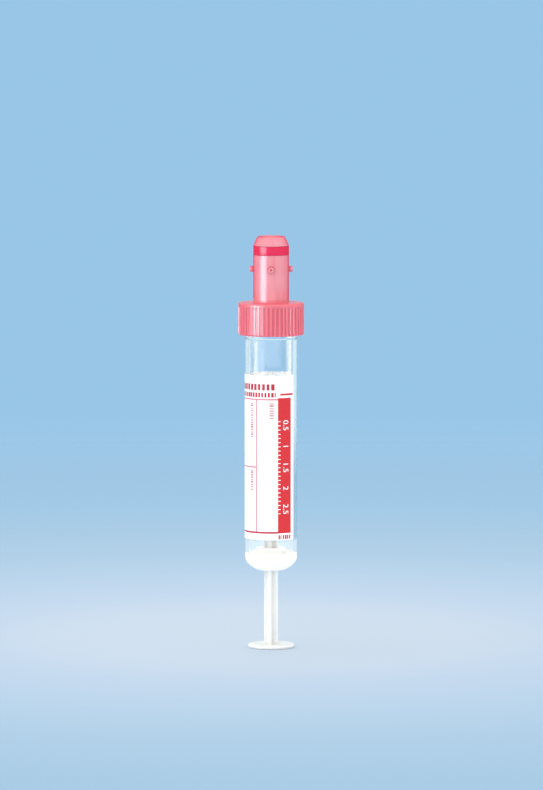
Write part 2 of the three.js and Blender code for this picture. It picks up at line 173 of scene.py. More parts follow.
class Shape:
    """A closed form in the making: a bmesh in millimetres."""

    def __init__(self) -> None:
        """Starts with nothing."""
        self.mesh = bmesh.new()

    @classmethod
    def turned(cls, outline: Outline, steps: int = ROUND, sweep: float = 360.0) -> "Shape":
        """Turns an outline round the Z axis.

        Args:
            outline: its corners in order. It starts and ends on the axis, or its last side closes it.
            steps: how many facets go round.
            sweep: how far it is turned, in degrees, starting at +X.

        Returns:
            The turned form.
        """
        shape = cls()
        open_line = outline[0][0] == 0 and outline[-1][0] == 0
        shape.line(((radius, 0, height) for radius, height, *_ in outline), outline, not open_line)
        full = sweep == 360.0
        if not full:
            bmesh.ops.contextual_create(shape.mesh, geom=shape.mesh.edges[:])
        bmesh.ops.spin(
            shape.mesh,
            geom=[*shape.mesh.verts, *shape.mesh.edges, *shape.mesh.faces],
            cent=ORIGIN,
            axis=UP,
            angle=math.radians(sweep),
            steps=steps,
            use_merge=full,
        )
        return shape.cleaned()

    @classmethod
    def raised(cls, outline: Outline, levels: Sequence[tuple[float, float]]) -> "Shape":
        """Pushes a flat outline of (x, y) or (x, y, rounding) corners up through some levels.

        Args:
            outline: its corners in order.
            levels: pairs of a height and the scale that the outline has there.

        Returns:
            The prism.
        """
        shape = cls()
        shape.line(((x, y, 0) for x, y, *_ in outline), outline, True)
        bmesh.ops.contextual_create(shape.mesh, geom=shape.mesh.edges[:])
        (height, scale), *above = levels
        shape.moved(Matrix.Translation(UP * height) @ Matrix.Diagonal((scale, scale, 1, 1)))
        (end,) = shape.mesh.faces
        for next_height, next_scale in above:
            end = shape.extruded(end)
            corners = end.verts[:]
            ratio = next_scale / scale
            bmesh.ops.scale(shape.mesh, vec=(ratio, ratio, 1), verts=corners)
            bmesh.ops.translate(shape.mesh, vec=UP * (next_height - height), verts=corners)
            height, scale = next_height, next_scale
        return shape.cleaned()

    @classmethod
    def ridge(cls, section: Outline, root: float, top: float, lead: float, steps: int) -> "Shape":
        """Winds one turn of a screw thread down the axis. It runs out to nothing at both ends.

        Args:
            section: its corners, as a radius and a height over the middle of the ridge.
            root: the radius that it grows from.
            top: the height of the middle of its upper end.
            lead: how far one turn descends.
            steps: how many facets the turn has.

        Returns:
            The ridge.
        """
        shape = cls()
        run_out = 0.09  # share of the turn in which each end grows to its full height

        def at(share: float) -> list[Vector]:
            """The section's corners at a share of the turn."""
            grown = max(0.02, smooth_step(0, run_out, share) * smooth_step(0, run_out, 1 - share))
            turn = Matrix.Rotation(-math.tau * share, 3, "Z")
            drop = UP * (top - lead * share)
            return [
                turn @ Vector((root + (radius - root) * grown, 0, height)) + drop
                for radius, height in section
            ]

        end = shape.mesh.faces.new([shape.mesh.verts.new(corner) for corner in at(0)])
        for step in range(steps):
            before, after = at(step / steps), at((step + 1) / steps)
            end = shape.extruded(end)
            for vert in end.verts:
                nearest = min(range(len(before)), key=lambda i: (vert.co - before[i]).length)
                vert.co = after[nearest]
        return shape.cleaned()

    def extruded(self, face: bmesh.types.BMFace) -> bmesh.types.BMFace:
        """Extrudes a face in place and returns its new copy. Nothing is left inside the form."""
        grown = bmesh.ops.extrude_face_region(self.mesh, geom=[face, *face.edges])["geom"]
        return next(item for item in grown if isinstance(item, bmesh.types.BMFace))

    def line(self, places: Iterable[tuple], outline: Outline, closed: bool) -> None:
        """Draws a line through an outline's corners, and rounds those that have a rounding.

        Args:
            places: where each corner is.
            outline: the same corners as they are written.
            closed: whether the last corner joins the first.
        """
        corners = [self.mesh.verts.new(place) for place in places]
        for pair in zip(corners, corners[1:] + corners[:1] if closed else corners[1:]):
            self.mesh.edges.new(pair)
        roundings = [corner[2] if len(corner) > 2 else 0 for corner in outline]
        for size in sorted(set(roundings) - {0}):
            bmesh.ops.bevel(
                self.mesh,
                geom=[corner for corner, rounding in zip(corners, roundings) if rounding == size],
                offset=size,
                offset_type="OFFSET",
                segments=ARC_STEPS,
                profile=0.5,
                affect="VERTICES",
                material=-1,
            )

    def cleaned(self) -> "Shape":
        """Merges doubles and turns every face outwards."""
        bmesh.ops.remove_doubles(self.mesh, verts=self.mesh.verts[:], dist=MERGE)
        bmesh.ops.recalc_face_normals(self.mesh, faces=self.mesh.faces[:])
        return self

    def moved(self, matrix: Matrix) -> "Shape":
        """Moves or turns all of it."""
        bmesh.ops.transform(self.mesh, matrix=matrix, verts=self.mesh.verts[:])
        return self

    def reshaped(self, place: Callable[[Vector], Vector]) -> "Shape":
        """Puts each corner where a function says."""
        for vert in self.mesh.verts:
            vert.co = place(vert.co)
        return self

    def combined(self, others: Iterable["Shape"], operation: str = "UNION") -> "Shape":
        """Joins other forms to this one, or cuts them out of it.

        Args:
            others: the other forms, which are used up.
            operation: UNION or DIFFERENCE.

        Returns:
            This form.
        """
        body, *tools = [shape.as_object("in_the_making") for shape in (self, *others)]
        for tool in tools:
            cut = body.modifiers.new("combine", "BOOLEAN")
            cut.operation = operation
            cut.solver = "EXACT"
            cut.object = tool
        self.mesh = bmesh.new()
        self.mesh.from_object(body, bpy.context.evaluated_depsgraph_get())
        for used in (body, *tools):
            data = used.data
            bpy.data.objects.remove(used)
            bpy.data.meshes.remove(data)
        return self.cleaned()

    def as_object(self, name: str) -> bpy.types.Object:
        """Turns it into an object of the scene, and lets the bmesh go."""
        data = bpy.data.meshes.new(name)
        self.mesh.to_mesh(data)
        self.mesh.free()
        made = bpy.data.objects.new(name, data)
        bpy.context.scene.collection.objects.link(made)
        return made

    def finished(self, name: str, crease: float = 32.0) -> bpy.types.Object:
        """Turns it into a finished piece in metres, whose broad faces shade flat up to their roundings.

        Args:
            name: the piece's name.
            crease: edges sharper than this many degrees stay sharp in shading.

        Returns:
            The piece's object.
        """
        self.moved(Matrix.Scale(MM, 4))
        made = self.as_object(name)
        rough = made.data
        rough.shade_smooth()
        rough.set_sharp_from_angle(angle=math.radians(crease))
        made.modifiers.new("weigh", "WEIGHTED_NORMAL").keep_sharp = True
        evaluated = made.evaluated_get(bpy.context.evaluated_depsgraph_get())
        made.data = bpy.data.meshes.new_from_object(evaluated)
        made.modifiers.clear()
        bpy.data.meshes.remove(rough)
        made.data.name = name
        return made


@dataclass(frozen=True)
class Thread:
    """The form of the screw thread that the barrel and the cap share."""

    lead: float = 2.5
    root: float = 1.3
    crest: float = 0.7
    rooted: float = 0.3  # how deep the ridge reaches into its wall

    def wound(self, wall: float, crest_radius: float, top: float) -> Shape:
        """Winds the ridge's one turn on a wall.

        Args:
            wall: the wall's radius.
            crest_radius: the ridge's radius. Smaller than the wall's, the ridge points inwards.
            top: the height of the middle of its upper end.

        Returns:
            The ridge.
        """
        buried = wall - math.copysign(self.rooted, crest_radius - wall)
        root, crest = self.root / 2, self.crest / 2
        below = [(buried, -root), (wall, -root), (crest_radius, -crest)]
        above = [(radius, -height) for radius, height in reversed(below)]
        return Shape.ridge([*below, *above], wall, top, self.lead, ROUND)


# ----------------------------------------------------------------------------------- shader nodes


class Value:
    """A number on a socket. Arithmetic on it adds Math nodes."""

    def __init__(self, nodes: "Nodes", socket: bpy.types.NodeSocket) -> None:
        """Wraps an output socket."""
        self.nodes = nodes
        self.socket = socket

    def math(self, operation: str, *numbers: "Number") -> "Value":
        """Adds a Math node.

        Args:
            operation: the node's operation.
            numbers: its inputs in order.

        Returns:
            Its result.
        """
        node = self.nodes.add("ShaderNodeMath", {"operation": operation}, dict(enumerate(numbers)))
        return Value(self.nodes, node.outputs[0])

    def __add__(self, other: "Number") -> "Value":
        """Sum."""
        return self.math("ADD", self, other)

    __radd__ = __add__

    def __sub__(self, other: "Number") -> "Value":
        """Difference."""
        return self.math("SUBTRACT", self, other)

    def __rsub__(self, other: "Number") -> "Value":
        """Difference from a plain number."""
        return self.math("SUBTRACT", other, self)

    def __mul__(self, other: "Number") -> "Value":
        """Product, which also says where two masks are both on."""
        return self.math("MULTIPLY", self, other)

    __rmul__ = __mul__

    def __or__(self, other: "Number") -> "Value":
        """Where either of two masks is on."""
        return self.math("MAXIMUM", self, other)

    def __gt__(self, other: "Number") -> "Value":
        """Mask of where it is over a number."""
        return self.math("GREATER_THAN", self, other)

    def __lt__(self, other: "Number") -> "Value":
        """Mask of where it is under a number."""
        return self.math("LESS_THAN", self, other)

    def __mod__(self, other: float) -> "Value":
        """What is left after whole steps of a size."""
        return self.math("FLOORED_MODULO", self, other)

    def __floordiv__(self, size: float) -> "Value":
        """How many whole steps of a size it holds."""
        return self.math("FLOOR", self.math("DIVIDE", self, size))

    def between(self, low: float, high: float) -> "Value":
        """Mask of where it lies between two numbers."""
        return (self > low) * (self < high)

    def eased(self, low: float, high: float, start: float = 0.0, end: float = 1.0) -> "Value":
        """Goes smoothly from start at low to end at high."""
        values = {"Value": self, 1: low, 2: high, 3: start, 4: end}
        node = self.nodes.add("ShaderNodeMapRange", {"interpolation_type": "SMOOTHSTEP"}, values)
        return Value(self.nodes, node.outputs[0])


Number = Value | float


class Nodes:
    """The node tree of a material or of the world."""

    def __init__(self, tree: bpy.types.NodeTree) -> None:
        """Empties a tree."""
        self.tree = tree
        tree.nodes.clear()

    def add(self, kind: str, settings: dict | None = None, inputs: dict | None = None) -> bpy.types.Node:
        """Adds any node.

        Args:
            kind: its type.
            settings: its properties by name. stops is a colour ramp's list of positions and colours.
            inputs: a value or a link for each of its sockets, by name or number.

        Returns:
            The node.
        """
        node = self.tree.nodes.new(kind)
        for name, value in (settings or {}).items():
            if name == "stops":
                elements = node.color_ramp.elements
                while len(elements) < len(value):
                    elements.new(1.0)
                for element, (position, shade) in zip(elements, value):
                    element.position = position
                    element.color = shade
            else:
                setattr(node, name, value)
        for key, value in (inputs or {}).items():
            source = value.socket if isinstance(value, Value) else value
            if isinstance(source, bpy.types.NodeSocket):
                self.tree.links.new(source, node.inputs[key])
            else:
                node.inputs[key].default_value = source
        return node

    def place(self, stretch: tuple[float, float, float] = (1, 1, 1)) -> bpy.types.NodeSocket:
        """The object's own coordinates, stretched along each axis by a factor."""
        own = self.add("ShaderNodeTexCoord").outputs["Object"]
        if stretch == (1, 1, 1):
            return own
        return self.add("ShaderNodeMapping", {}, {"Vector": own, "Scale": stretch}).outputs[0]

    def split(self, vector: bpy.types.NodeSocket | None = None) -> list[Value]:
        """The x, y and z of a vector. Left out, it is the object's own coordinates."""
        parts = self.add("ShaderNodeSeparateXYZ", {}, {0: vector or self.place()})
        return [Value(self, output) for output in parts.outputs]

    def principled(self, inputs: dict) -> bpy.types.NodeSocket:
        """The shader of a surface with these inputs."""
        return self.add("ShaderNodeBsdfPrincipled", {}, inputs).outputs[0]

    def noise(self, size: float, detail: float = 2.0, where: bpy.types.NodeSocket | None = None) -> Value:
        """Soft noise from 0 to 1.

        Args:
            size: how large its patches are, in millimetres.
            detail: how many finer octaves it has.
            where: the coordinates that it reads. Left out, they are the object's own.

        Returns:
            The noise.
        """
        values = {"Vector": where or self.place(), "Scale": 1 / (size * MM), "Detail": detail}
        return Value(self, self.add("ShaderNodeTexNoise", {}, values).outputs[0])

    def mix(self, share: Number, first: "Shade", second: "Shade") -> bpy.types.NodeSocket:
        """Mixes two colours.

        Args:
            share: 0 for the first, 1 for the second.
            first: a colour or a colour socket.
            second: the other one.

        Returns:
            The mixed colour.
        """
        node = self.add("ShaderNodeMix", {"data_type": "RGBA"}, {0: share, 6: first, 7: second})
        return node.outputs[2]

    def lets_in(self, surface: bpy.types.NodeSocket, share: float) -> bpy.types.NodeSocket:
        """A surface that lets lamps shine through.

        Args:
            surface: what is seen.
            share: what is left of their light.

        Returns:
            The mixed surface.
        """
        lamps = self.add("ShaderNodeBsdfTransparent", {}, {"Color": (share, share, share, 1.0)}).outputs[0]
        passes = self.add("ShaderNodeLightPath").outputs["Is Shadow Ray"]
        return self.add("ShaderNodeMixShader", {}, {0: passes, 1: surface, 2: lamps}).outputs[0]

    def bump(self, height: Number, depth: float) -> bpy.types.NodeSocket:
        """The normal of a surface that rises by depth millimetres where height is 1."""
        values = {"Height": height, "Distance": depth * MM, "Strength": 1.0}
        return self.add("ShaderNodeBump", {}, values).outputs[0]


Shade = bpy.types.NodeSocket | Colour


# --------------------------------------------------------------------------------------- finishes


@dataclass(frozen=True)
class Finish:
    """A finish: a name and the nodes that make it."""

    name: str

    @lru_cache
    def material(self) -> bpy.types.Material:
        """The material of this finish, made once."""
        made = bpy.data.materials.new(self.name)
        made.use_nodes = True
        nodes = Nodes(made.node_tree)
        surface = self.surface(nodes)
        nodes.add("ShaderNodeOutputMaterial", {}, {"Surface": surface})
        return made

    def surface(self, nodes: Nodes) -> bpy.types.NodeSocket:
        """Builds the finish's nodes and returns the shader."""
        raise NotImplementedError


@dataclass(frozen=True)
class Plastic(Finish):
    """Moulded plastic that light enters a little, with the marks that filling the mould leaves."""

    colour: str
    streaks: str  # the colour that its flow streaks lean to
    roughness: float = 0.32
    grain: float = 0.002  # height of the mould's texture, in millimetres
    glow: float = 0.25  # share of the light that goes through the inside
    depth: float = 1.0  # how far it gets there, in millimetres
    reach: tuple[float, float, float] = (1.0, 0.8, 0.7)  # the same for red, green and blue
    tint: tuple[float, float, float] | None = None  # of its clear skin, deeper at grazing angles
    shine: float = 0.5  # how strongly it reflects
    index: float = 1.5  # its refractive index

    def shade(self, nodes: Nodes, streak: Value) -> bpy.types.NodeSocket:
        """Its colour, given where the streaks are."""
        return nodes.mix(streak, linear(self.colour), linear(self.streaks))

    def skin(self, nodes: Nodes) -> Number:
        """How much of the clear skin's tint it has."""
        return 1.0

    def surface(self, nodes: Nodes) -> bpy.types.NodeSocket:
        """Colour with flow streaks along Z, uneven gloss and a fine mould texture."""
        flow = nodes.noise(1.6, 3.0, nodes.place((1, 1, 0.12)))
        cloud = nodes.noise(7.0, 1.0)
        fine = nodes.noise(0.09, 2.0)
        shade = self.shade(nodes, (0.65 * flow + 0.35 * cloud).eased(0.35, 0.7))
        scuffs = nodes.noise(0.5, 4.0, nodes.place((1, 1, 3))).eased(0.6, 0.8)
        gloss = self.roughness + 0.10 * (flow - 0.5) + 0.06 * (fine - 0.5) + 0.06 * scuffs
        inputs = {
            "Base Color": shade,
            "Roughness": gloss,
            "IOR": self.index,
            "Specular IOR Level": self.shine,
            "Normal": nodes.bump(0.75 * fine + 0.25 * flow, self.grain),
            "Subsurface Weight": self.glow,
            "Subsurface Radius": self.reach,
            "Subsurface Scale": self.depth * MM,
        }
        if self.tint:
            inputs |= {
                "Coat Weight": self.skin(nodes),
                "Coat IOR": 1.01,
                "Coat Roughness": self.roughness,
                "Coat Tint": (*self.tint, 1.0),
            }
        return nodes.principled(inputs)


@dataclass(frozen=True)
class CapPlastic(Plastic):
    """The cap's plastic, with painted light: a paler thin nozzle, as if lit through, and painted shade in
    the grip's valleys and round each peg.
    """

    pale: str = "ffffff"  # its colour in the nozzle: painted light, paler as if lit through the thin wall
    shoulder: float = 0.0  # the level of the shoulder, in millimetres
    skirt_skin: float = 0.3  # how much of the tint the thick skirt has
    deep: str = "ffffff"  # its colour at the bottom of the grip's valleys
    valley: tuple[float, float, float] = (0.0, 1.0, 0.0)  # painted shade: the darker colour in the grip's valleys and round each peg's foot
    peg: tuple[float, float, float] = (0.0, 0.0, 0.0)  # the pegs' level and radius, and the nozzle's

    def thin(self, nodes: Nodes) -> Value:
        """From 0 on the skirt to 1 on the nozzle."""
        _, _, height = nodes.split()
        return height.eased((self.shoulder + 0.2) * MM, (self.shoulder + 1.2) * MM)

    def shade(self, nodes: Nodes, streak: Value) -> bpy.types.NodeSocket:
        """Its colour, given where the streaks are, with the nozzle's painted light and the painted shade
        of the valleys and pegs.
        """
        # Painted light: the nozzle is paler, as if lit through its thin wall.
        nozzle = nodes.mix(streak * 0.4, linear(self.pale), linear(self.streaks))
        # Painted shade round the foot of each peg.
        nozzle = nodes.mix(self.painted_peg_shade(nodes), nozzle, linear(self.deep))
        # Painted shade: the grip's valleys darken towards their floors, below the rim band.
        floor, crest, top = (size * MM for size in self.valley)
        x, y, height = nodes.split()
        under_band = height.eased(top - 0.2 * MM, top, 1.0, 0.0)
        sunk = (x.math("SQRT", x * x + y * y)).eased(floor, crest, 1.0, 0.0) * under_band
        skirt = nodes.mix(sunk, super().shade(nodes, streak), linear(self.deep))
        return nodes.mix(self.thin(nodes), skirt, nozzle)

    def painted_peg_shade(self, nodes: Nodes) -> Value:
        """Mask of the painted shade round the foot of each peg."""
        level, radius, wall = (size * MM for size in self.peg)
        x, y, z = nodes.split()
        beside = x.math("MINIMUM", x.math("ABSOLUTE", x), y.math("ABSOLUTE", y))
        away = z.math("SQRT", beside * beside + (z - level) * (z - level))
        out = x.math("SQRT", x * x + y * y)
        ring = away.between(radius - 0.12 * MM, radius + 0.14 * MM)
        return 0.7 * ring * (out < wall + 0.5 * MM) * (z > level - 3 * radius)

    def skin(self, nodes: Nodes) -> Number:
        """How much of the clear skin's tint it has."""
        return self.skirt_skin + (1 - self.skirt_skin) * self.thin(nodes)


@dataclass(frozen=True)
class ClearPlastic(Finish):
    """Clear moulded plastic: it bends what is seen through it. What it is on casts no shadow. Emission
    paints light on it: a highlight band on the neck's step and a glow near its foot.
    """

    colour: str
    mirror: float = 0.45  # how much of its front gloss is left where it is looked at squarely
    step: float = 0.0  # the level of the neck's step, where a painted highlight band lies
    step_half: float = 0.28  # half the height of the band on the step, rougher and with a painted highlight
    step_light: float = 0.16  # how bright the band's painted highlight glows
    foot: float = 0.0  # the level below which a painted glow stands for light from the white base
    foot_fade: float = 0.6  # over what height that begins
    foot_light: float = 0.11  # how bright that painted glow gets there
    # the colour of the painted glow near the foot
    foot_glow_colour: Colour = (0.85, 0.74, 0.55, 1.0)

    def surface(self, nodes: Nodes) -> bpy.types.NodeSocket:
        """Glass-like plastic with faint draw lines and smears of haze, and emission that paints a
        highlight band on the neck's step and a glow near the foot.
        """
        draw = nodes.noise(1.4, 2.0, nodes.place((1, 1, 0.05)))
        cloud = nodes.noise(4.0, 3.0)
        _, _, height = nodes.split()
        step, half = self.step * MM, self.step_half * MM
        # A rougher band on the neck's step, which also carries a painted highlight.
        frost_and_highlight = height.eased(step - half, step) * height.eased(step, step + half, 1.0, 0.0)
        # Painted light: a warm glow near the foot stands for light from the white base.
        foot = height.eased((self.foot - self.foot_fade) * MM, self.foot * MM, self.foot_light, 0.0)
        # Painted highlight: the step's band glows white.
        lit = nodes.mix(self.step_light * frost_and_highlight, DARK, LIGHT)
        inputs = {
            "Base Color": nodes.mix(cloud.eased(0.3, 0.8), linear(self.colour), LIGHT),
            "Roughness": 0.03 + 0.05 * cloud.eased(0.45, 0.8) + 0.3 * frost_and_highlight,
            "IOR": 1.49,
            "Transmission Weight": 1.0,
            "Specular Tint": (self.mirror, self.mirror, self.mirror, 1.0),
            "Normal": nodes.bump(draw, 0.012),
            # Emission paints both the step's highlight and the glow near the foot.
            "Emission Color": nodes.mix(foot, lit, self.foot_glow_colour),
            "Emission Strength": 1.0,
        }
        return nodes.principled(inputs)


@dataclass(frozen=True)
class Rubber(Finish):
    """Moulded rubber, dull and a little dusty."""

    colour: str
    dust: str
    roughness: float = 0.6

    def surface(self, nodes: Nodes) -> bpy.types.NodeSocket:
        """Dull colour with dust in patches, and a pebbled skin."""
        pebbles = nodes.noise(0.12, 2.0)
        patches = nodes.noise(1.8, 3.0)
        dusty = patches.eased(0.5, 0.85, 0.0, 0.5)
        inputs = {
            "Base Color": nodes.mix(dusty, linear(self.colour), linear(self.dust)),
            "Roughness": self.roughness + 0.15 * (patches - 0.5),
            "Normal": nodes.bump(pebbles, 0.006),
            "Specular IOR Level": 0.4,
        }
        return nodes.principled(inputs)


@dataclass(frozen=True)
class BeadCoat(Finish):
    """Plastic granules with a powdery white coat."""

    colour: str
    shade: str

    def surface(self, nodes: Nodes) -> bpy.types.NodeSocket:
        """White powder, thinner in patches where the granule shows through."""
        powder = nodes.noise(0.06, 3.0)
        patches = nodes.noise(0.7, 3.0)
        thin = (0.7 * patches + 0.3 * powder).eased(0.45, 0.7)
        inputs = {
            "Base Color": nodes.mix(thin, linear(self.colour), linear(self.shade)),
            "Roughness": 0.62 - 0.22 * thin,
            "Normal": nodes.bump(0.6 * powder + 0.4 * patches, 0.02),
            "Subsurface Weight": 0.35,
            "Subsurface Radius": (1.0, 0.9, 0.85),
            "Subsurface Scale": 0.8 * MM,
        }
        return nodes.principled(inputs)


@dataclass(frozen=True)
class Ink(Finish):
    """Thin ink, or the paper's plain back."""

    colour: str
    thin: float = 0.0  # how much of the lamps' light comes through it
    lit: float = 0.0  # how strongly it glows: painted light that stands for the lamps' light through it

    def surface(self, nodes: Nodes) -> bpy.types.NodeSocket:
        """Ink that lies a little unevenly, and glows with painted light as strongly as lit says."""
        mottle = nodes.noise(0.15, 3.0)
        deep = tuple(0.85 * part for part in linear(self.colour)[:3])
        inputs = {
            "Base Color": nodes.mix(mottle.eased(0.55, 0.9), linear(self.colour), (*deep, 1.0)),
            "Roughness": 0.42 + 0.1 * mottle,
            "Normal": nodes.bump(mottle, 0.002),
            # Painted light: the emission stands for light that comes through the paper.
            "Emission Color": linear(self.colour),
            "Emission Strength": self.lit,
        }
        ink = nodes.principled(inputs)
        return nodes.lets_in(ink, self.thin) if self.thin else ink


Block = tuple[float, float, float, float]  # an angle and the next, and a level and the next


@dataclass(frozen=True)
class LabelPaper(Finish):
    """The label's coated paper and its print, drawn on the sheet's own map.

    On the map, one side to the other is the label's sweep and bottom to top is its height. Angles in
    the print's fields are degrees from the front, towards +X.
    """

    paper: str
    red: str
    dark_red: str
    fine_red: str
    radius: float
    start: float  # angle of the sheet's first edge
    sweep: float
    bottom: float
    height: float
    bar: tuple[float, float] = (14.9, 47.9)  # where the colour bar starts and ends
    box: tuple[float, float] = (29.6, 63.0)  # the lowest and highest line of the writing field
    field_edge: float = -190.0  # where the writing field's last upright is
    rules: tuple[float, ...] = (-33.5, -112.0, -190.0)  # the field's uprights
    cross_rule: float = 46.0  # the level of its cross line
    line: float = 0.38  # how thick a fine line is
    bar_line: Block = (20.0, 55.0, 64.0, 64.5)
    captions: tuple[Block, ...] = (
        (-4.0, 6.0, 57.9, 62.1),
        (-51.0, -42.0, 53.4, 62.1),
        (-51.0, -42.0, 39.9, 45.3),
    )
    heading: Block = (-150.0, 9.0, 65.3, 66.9)
    subheading: Block = (-150.0, 10.0, 63.55, 64.75)
    foot_note: Block = (16.0, 48.0, 27.9, 29.0)
    ticks: tuple[float, float, float] = (35.4, 5.26 / 5, 0.18)  # the lowest's level, pitch, thickness
    ticked: tuple[float, float] = (34.3, 57.6)  # between which levels they are
    tick_length: float = 0.7
    thin: float = 0.7  # how much of the lamps' light comes through it

    def along(self, degrees: float) -> float:
        """The distance round the sheet from the front, in millimetres."""
        return math.radians(degrees) * self.radius

    def dashes(self, where: Value, period: float, fill: float = 0.45) -> Value:
        """Dashes of uneven length that stand for a line of print.

        Args:
            where: the distance along the line, in millimetres.
            period: how far apart they are.
            fill: the share of the period that the shortest takes up.

        Returns:
            The mask of the dashes.
        """
        nodes = where.nodes
        drawn = nodes.add("ShaderNodeTexWhiteNoise", {"noise_dimensions": "1D"}, {"W": where // period})
        longer = 0.8 * (0.95 - fill) * Value(nodes, drawn.outputs["Value"])
        return (where % period) < period * (fill + longer)

    def print_masks(self, across: Value, up: Value) -> tuple[Value, Value, Value, Value]:
        """Where each colour of the print lies.

        Args:
            across: the distance round the sheet from the front, in millimetres.
            up: the height, in millimetres.

        Returns:
            The masks of the red, the dark red, the fine red and the white marks on the red.
        """

        def block(start: float, end: float, low: float, high: float) -> Value:
            """A field from one angle to another, and from one level to another."""
            return across.between(self.along(start), self.along(end)) * up.between(low, high)

        low, high = self.box
        bar_start, bar_end = self.bar
        half = self.line / 2
        foot_half = 1.25 * half
        red = block(bar_start, bar_end, low - half, high + 0.4) | block(*self.bar_line)

        cross = self.cross_rule
        fine = block(self.field_edge, bar_start, high - half, high + half)
        for upright in self.rules:
            middle = self.along(upright)
            fine = fine | 0.85 * across.between(middle - 0.25, middle + 0.25) * up.between(low, high)
        fine = fine | block(self.field_edge, self.rules[0], cross - half, cross + half)
        first, second, third = (block(*caption) for caption in self.captions)
        fine = fine | (first | second | third) * self.dashes(up, 0.6)

        strokes = block(*self.heading) * self.dashes(across, 1.15, 0.6)
        strokes = strokes | block(*self.subheading) * self.dashes(across, 0.85, 0.6)
        dark = strokes | block(*self.foot_note) * self.dashes(across, 0.6)
        dark = dark | block(self.field_edge, bar_start, low - foot_half, low + foot_half)

        lowest, pitch, thick = self.ticks
        ticks = ((up - (lowest - thick / 2)) % pitch) < thick
        beside = across < self.along(bar_start) + self.tick_length
        return red, dark, fine, block(bar_start, bar_end, *self.ticked) * ticks * beside

    def surface(self, nodes: Nodes) -> bpy.types.NodeSocket:
        """White coated paper with its print, whose edges bleed a little."""
        sheet = nodes.add("ShaderNodeTexCoord").outputs["UV"]
        aside, rise, _ = nodes.split(sheet)
        bleed = 0.05 * (nodes.noise(0.14, 2.0) - 0.5)
        turn = math.radians(self.sweep) * self.radius
        first = math.radians(self.start - FRONT) * self.radius
        across = aside * turn + first + bleed
        up = rise * self.height + self.bottom + bleed
        red, dark, fine, marks = self.print_masks(across, up)
        fibre = nodes.noise(0.35, 4.0, nodes.place((1, 1, 0.4)))
        mottle = nodes.noise(0.2, 3.0)
        paper = nodes.mix(fibre.eased(0.45, 0.8, 0.0, 0.5), linear(self.paper), linear("f1efeb"))
        shade = nodes.mix(fine * (0.8 + 0.2 * mottle), paper, linear(self.fine_red))
        shade = nodes.mix(red * (0.97 + 0.03 * mottle), shade, linear(self.red))
        shade = nodes.mix(dark * (0.96 + 0.04 * mottle), shade, linear(self.dark_red))
        shade = nodes.mix(marks, shade, paper)
        inked = red | dark | fine
        inputs = {
            "Base Color": shade,
            "Roughness": 0.5 - 0.12 * inked + 0.1 * (fibre - 0.5),
            "Normal": nodes.bump(0.8 * fibre + 0.2 * inked, 0.004),
            "Specular IOR Level": 0.25,
        }
        return nodes.lets_in(nodes.principled(inputs), self.thin)


WHITE = Plastic("white_plastic", "f8f7f6", "f2f1f0", roughness=0.34, glow=0.3, depth=1.2)
MILKY = Plastic("milky_plastic", "e1e1de", "d9d9d6", roughness=0.3, glow=0.4, depth=0.8)
CRIMSON = Plastic(
    "ring_plastic",
    "dc2558",
    "d42152",
    roughness=0.22,
    glow=0.15,
    depth=0.6,
    reach=(1.0, 0.2, 0.3),
    tint=(1.0, 0.75, 0.8),
    shine=0.8,
)
BLACK_RUBBER = Rubber("seal_rubber", "26282b", "55585c")
PALE_RUBBER = Rubber("pale_rubber", "cfc9c0", "e4e0da", roughness=0.55)
BEAD_WHITE = BeadCoat("bead_coat", "f7f7f5", "e6e7e5")
WHITE_INK = Ink("white_ink", "fbfbfa")


# ----------------------------------------------------------------------------------- sub-assemblies


@dataclass
class Assembly:
    """What the sub-assemblies share: their finished pieces by name."""

    pieces: dict[str, bpy.types.Object] = field(default_factory=dict, init=False)

    def keep(self, name: str, shape: Shape) -> None:
        """Finishes a piece and keeps it."""
        self.pieces[name] = shape.finished(name)

    def place(self, name: str, body: Body, slot: Slot, finish: Finish, *nodes: str) -> None:
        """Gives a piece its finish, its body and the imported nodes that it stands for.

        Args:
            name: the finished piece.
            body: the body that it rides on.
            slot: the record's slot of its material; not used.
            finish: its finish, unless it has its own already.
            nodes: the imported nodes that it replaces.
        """
        piece = self.pieces[name]
        if not piece.data.materials:
            piece.data.materials.append(finish.material())
        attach(piece, body.value)
        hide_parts(*nodes)
        piece.data.calc_loop_triangles()
        log.info("%s: %d triangles, rides on %s", name, len(piece.data.loop_triangles), body.value)


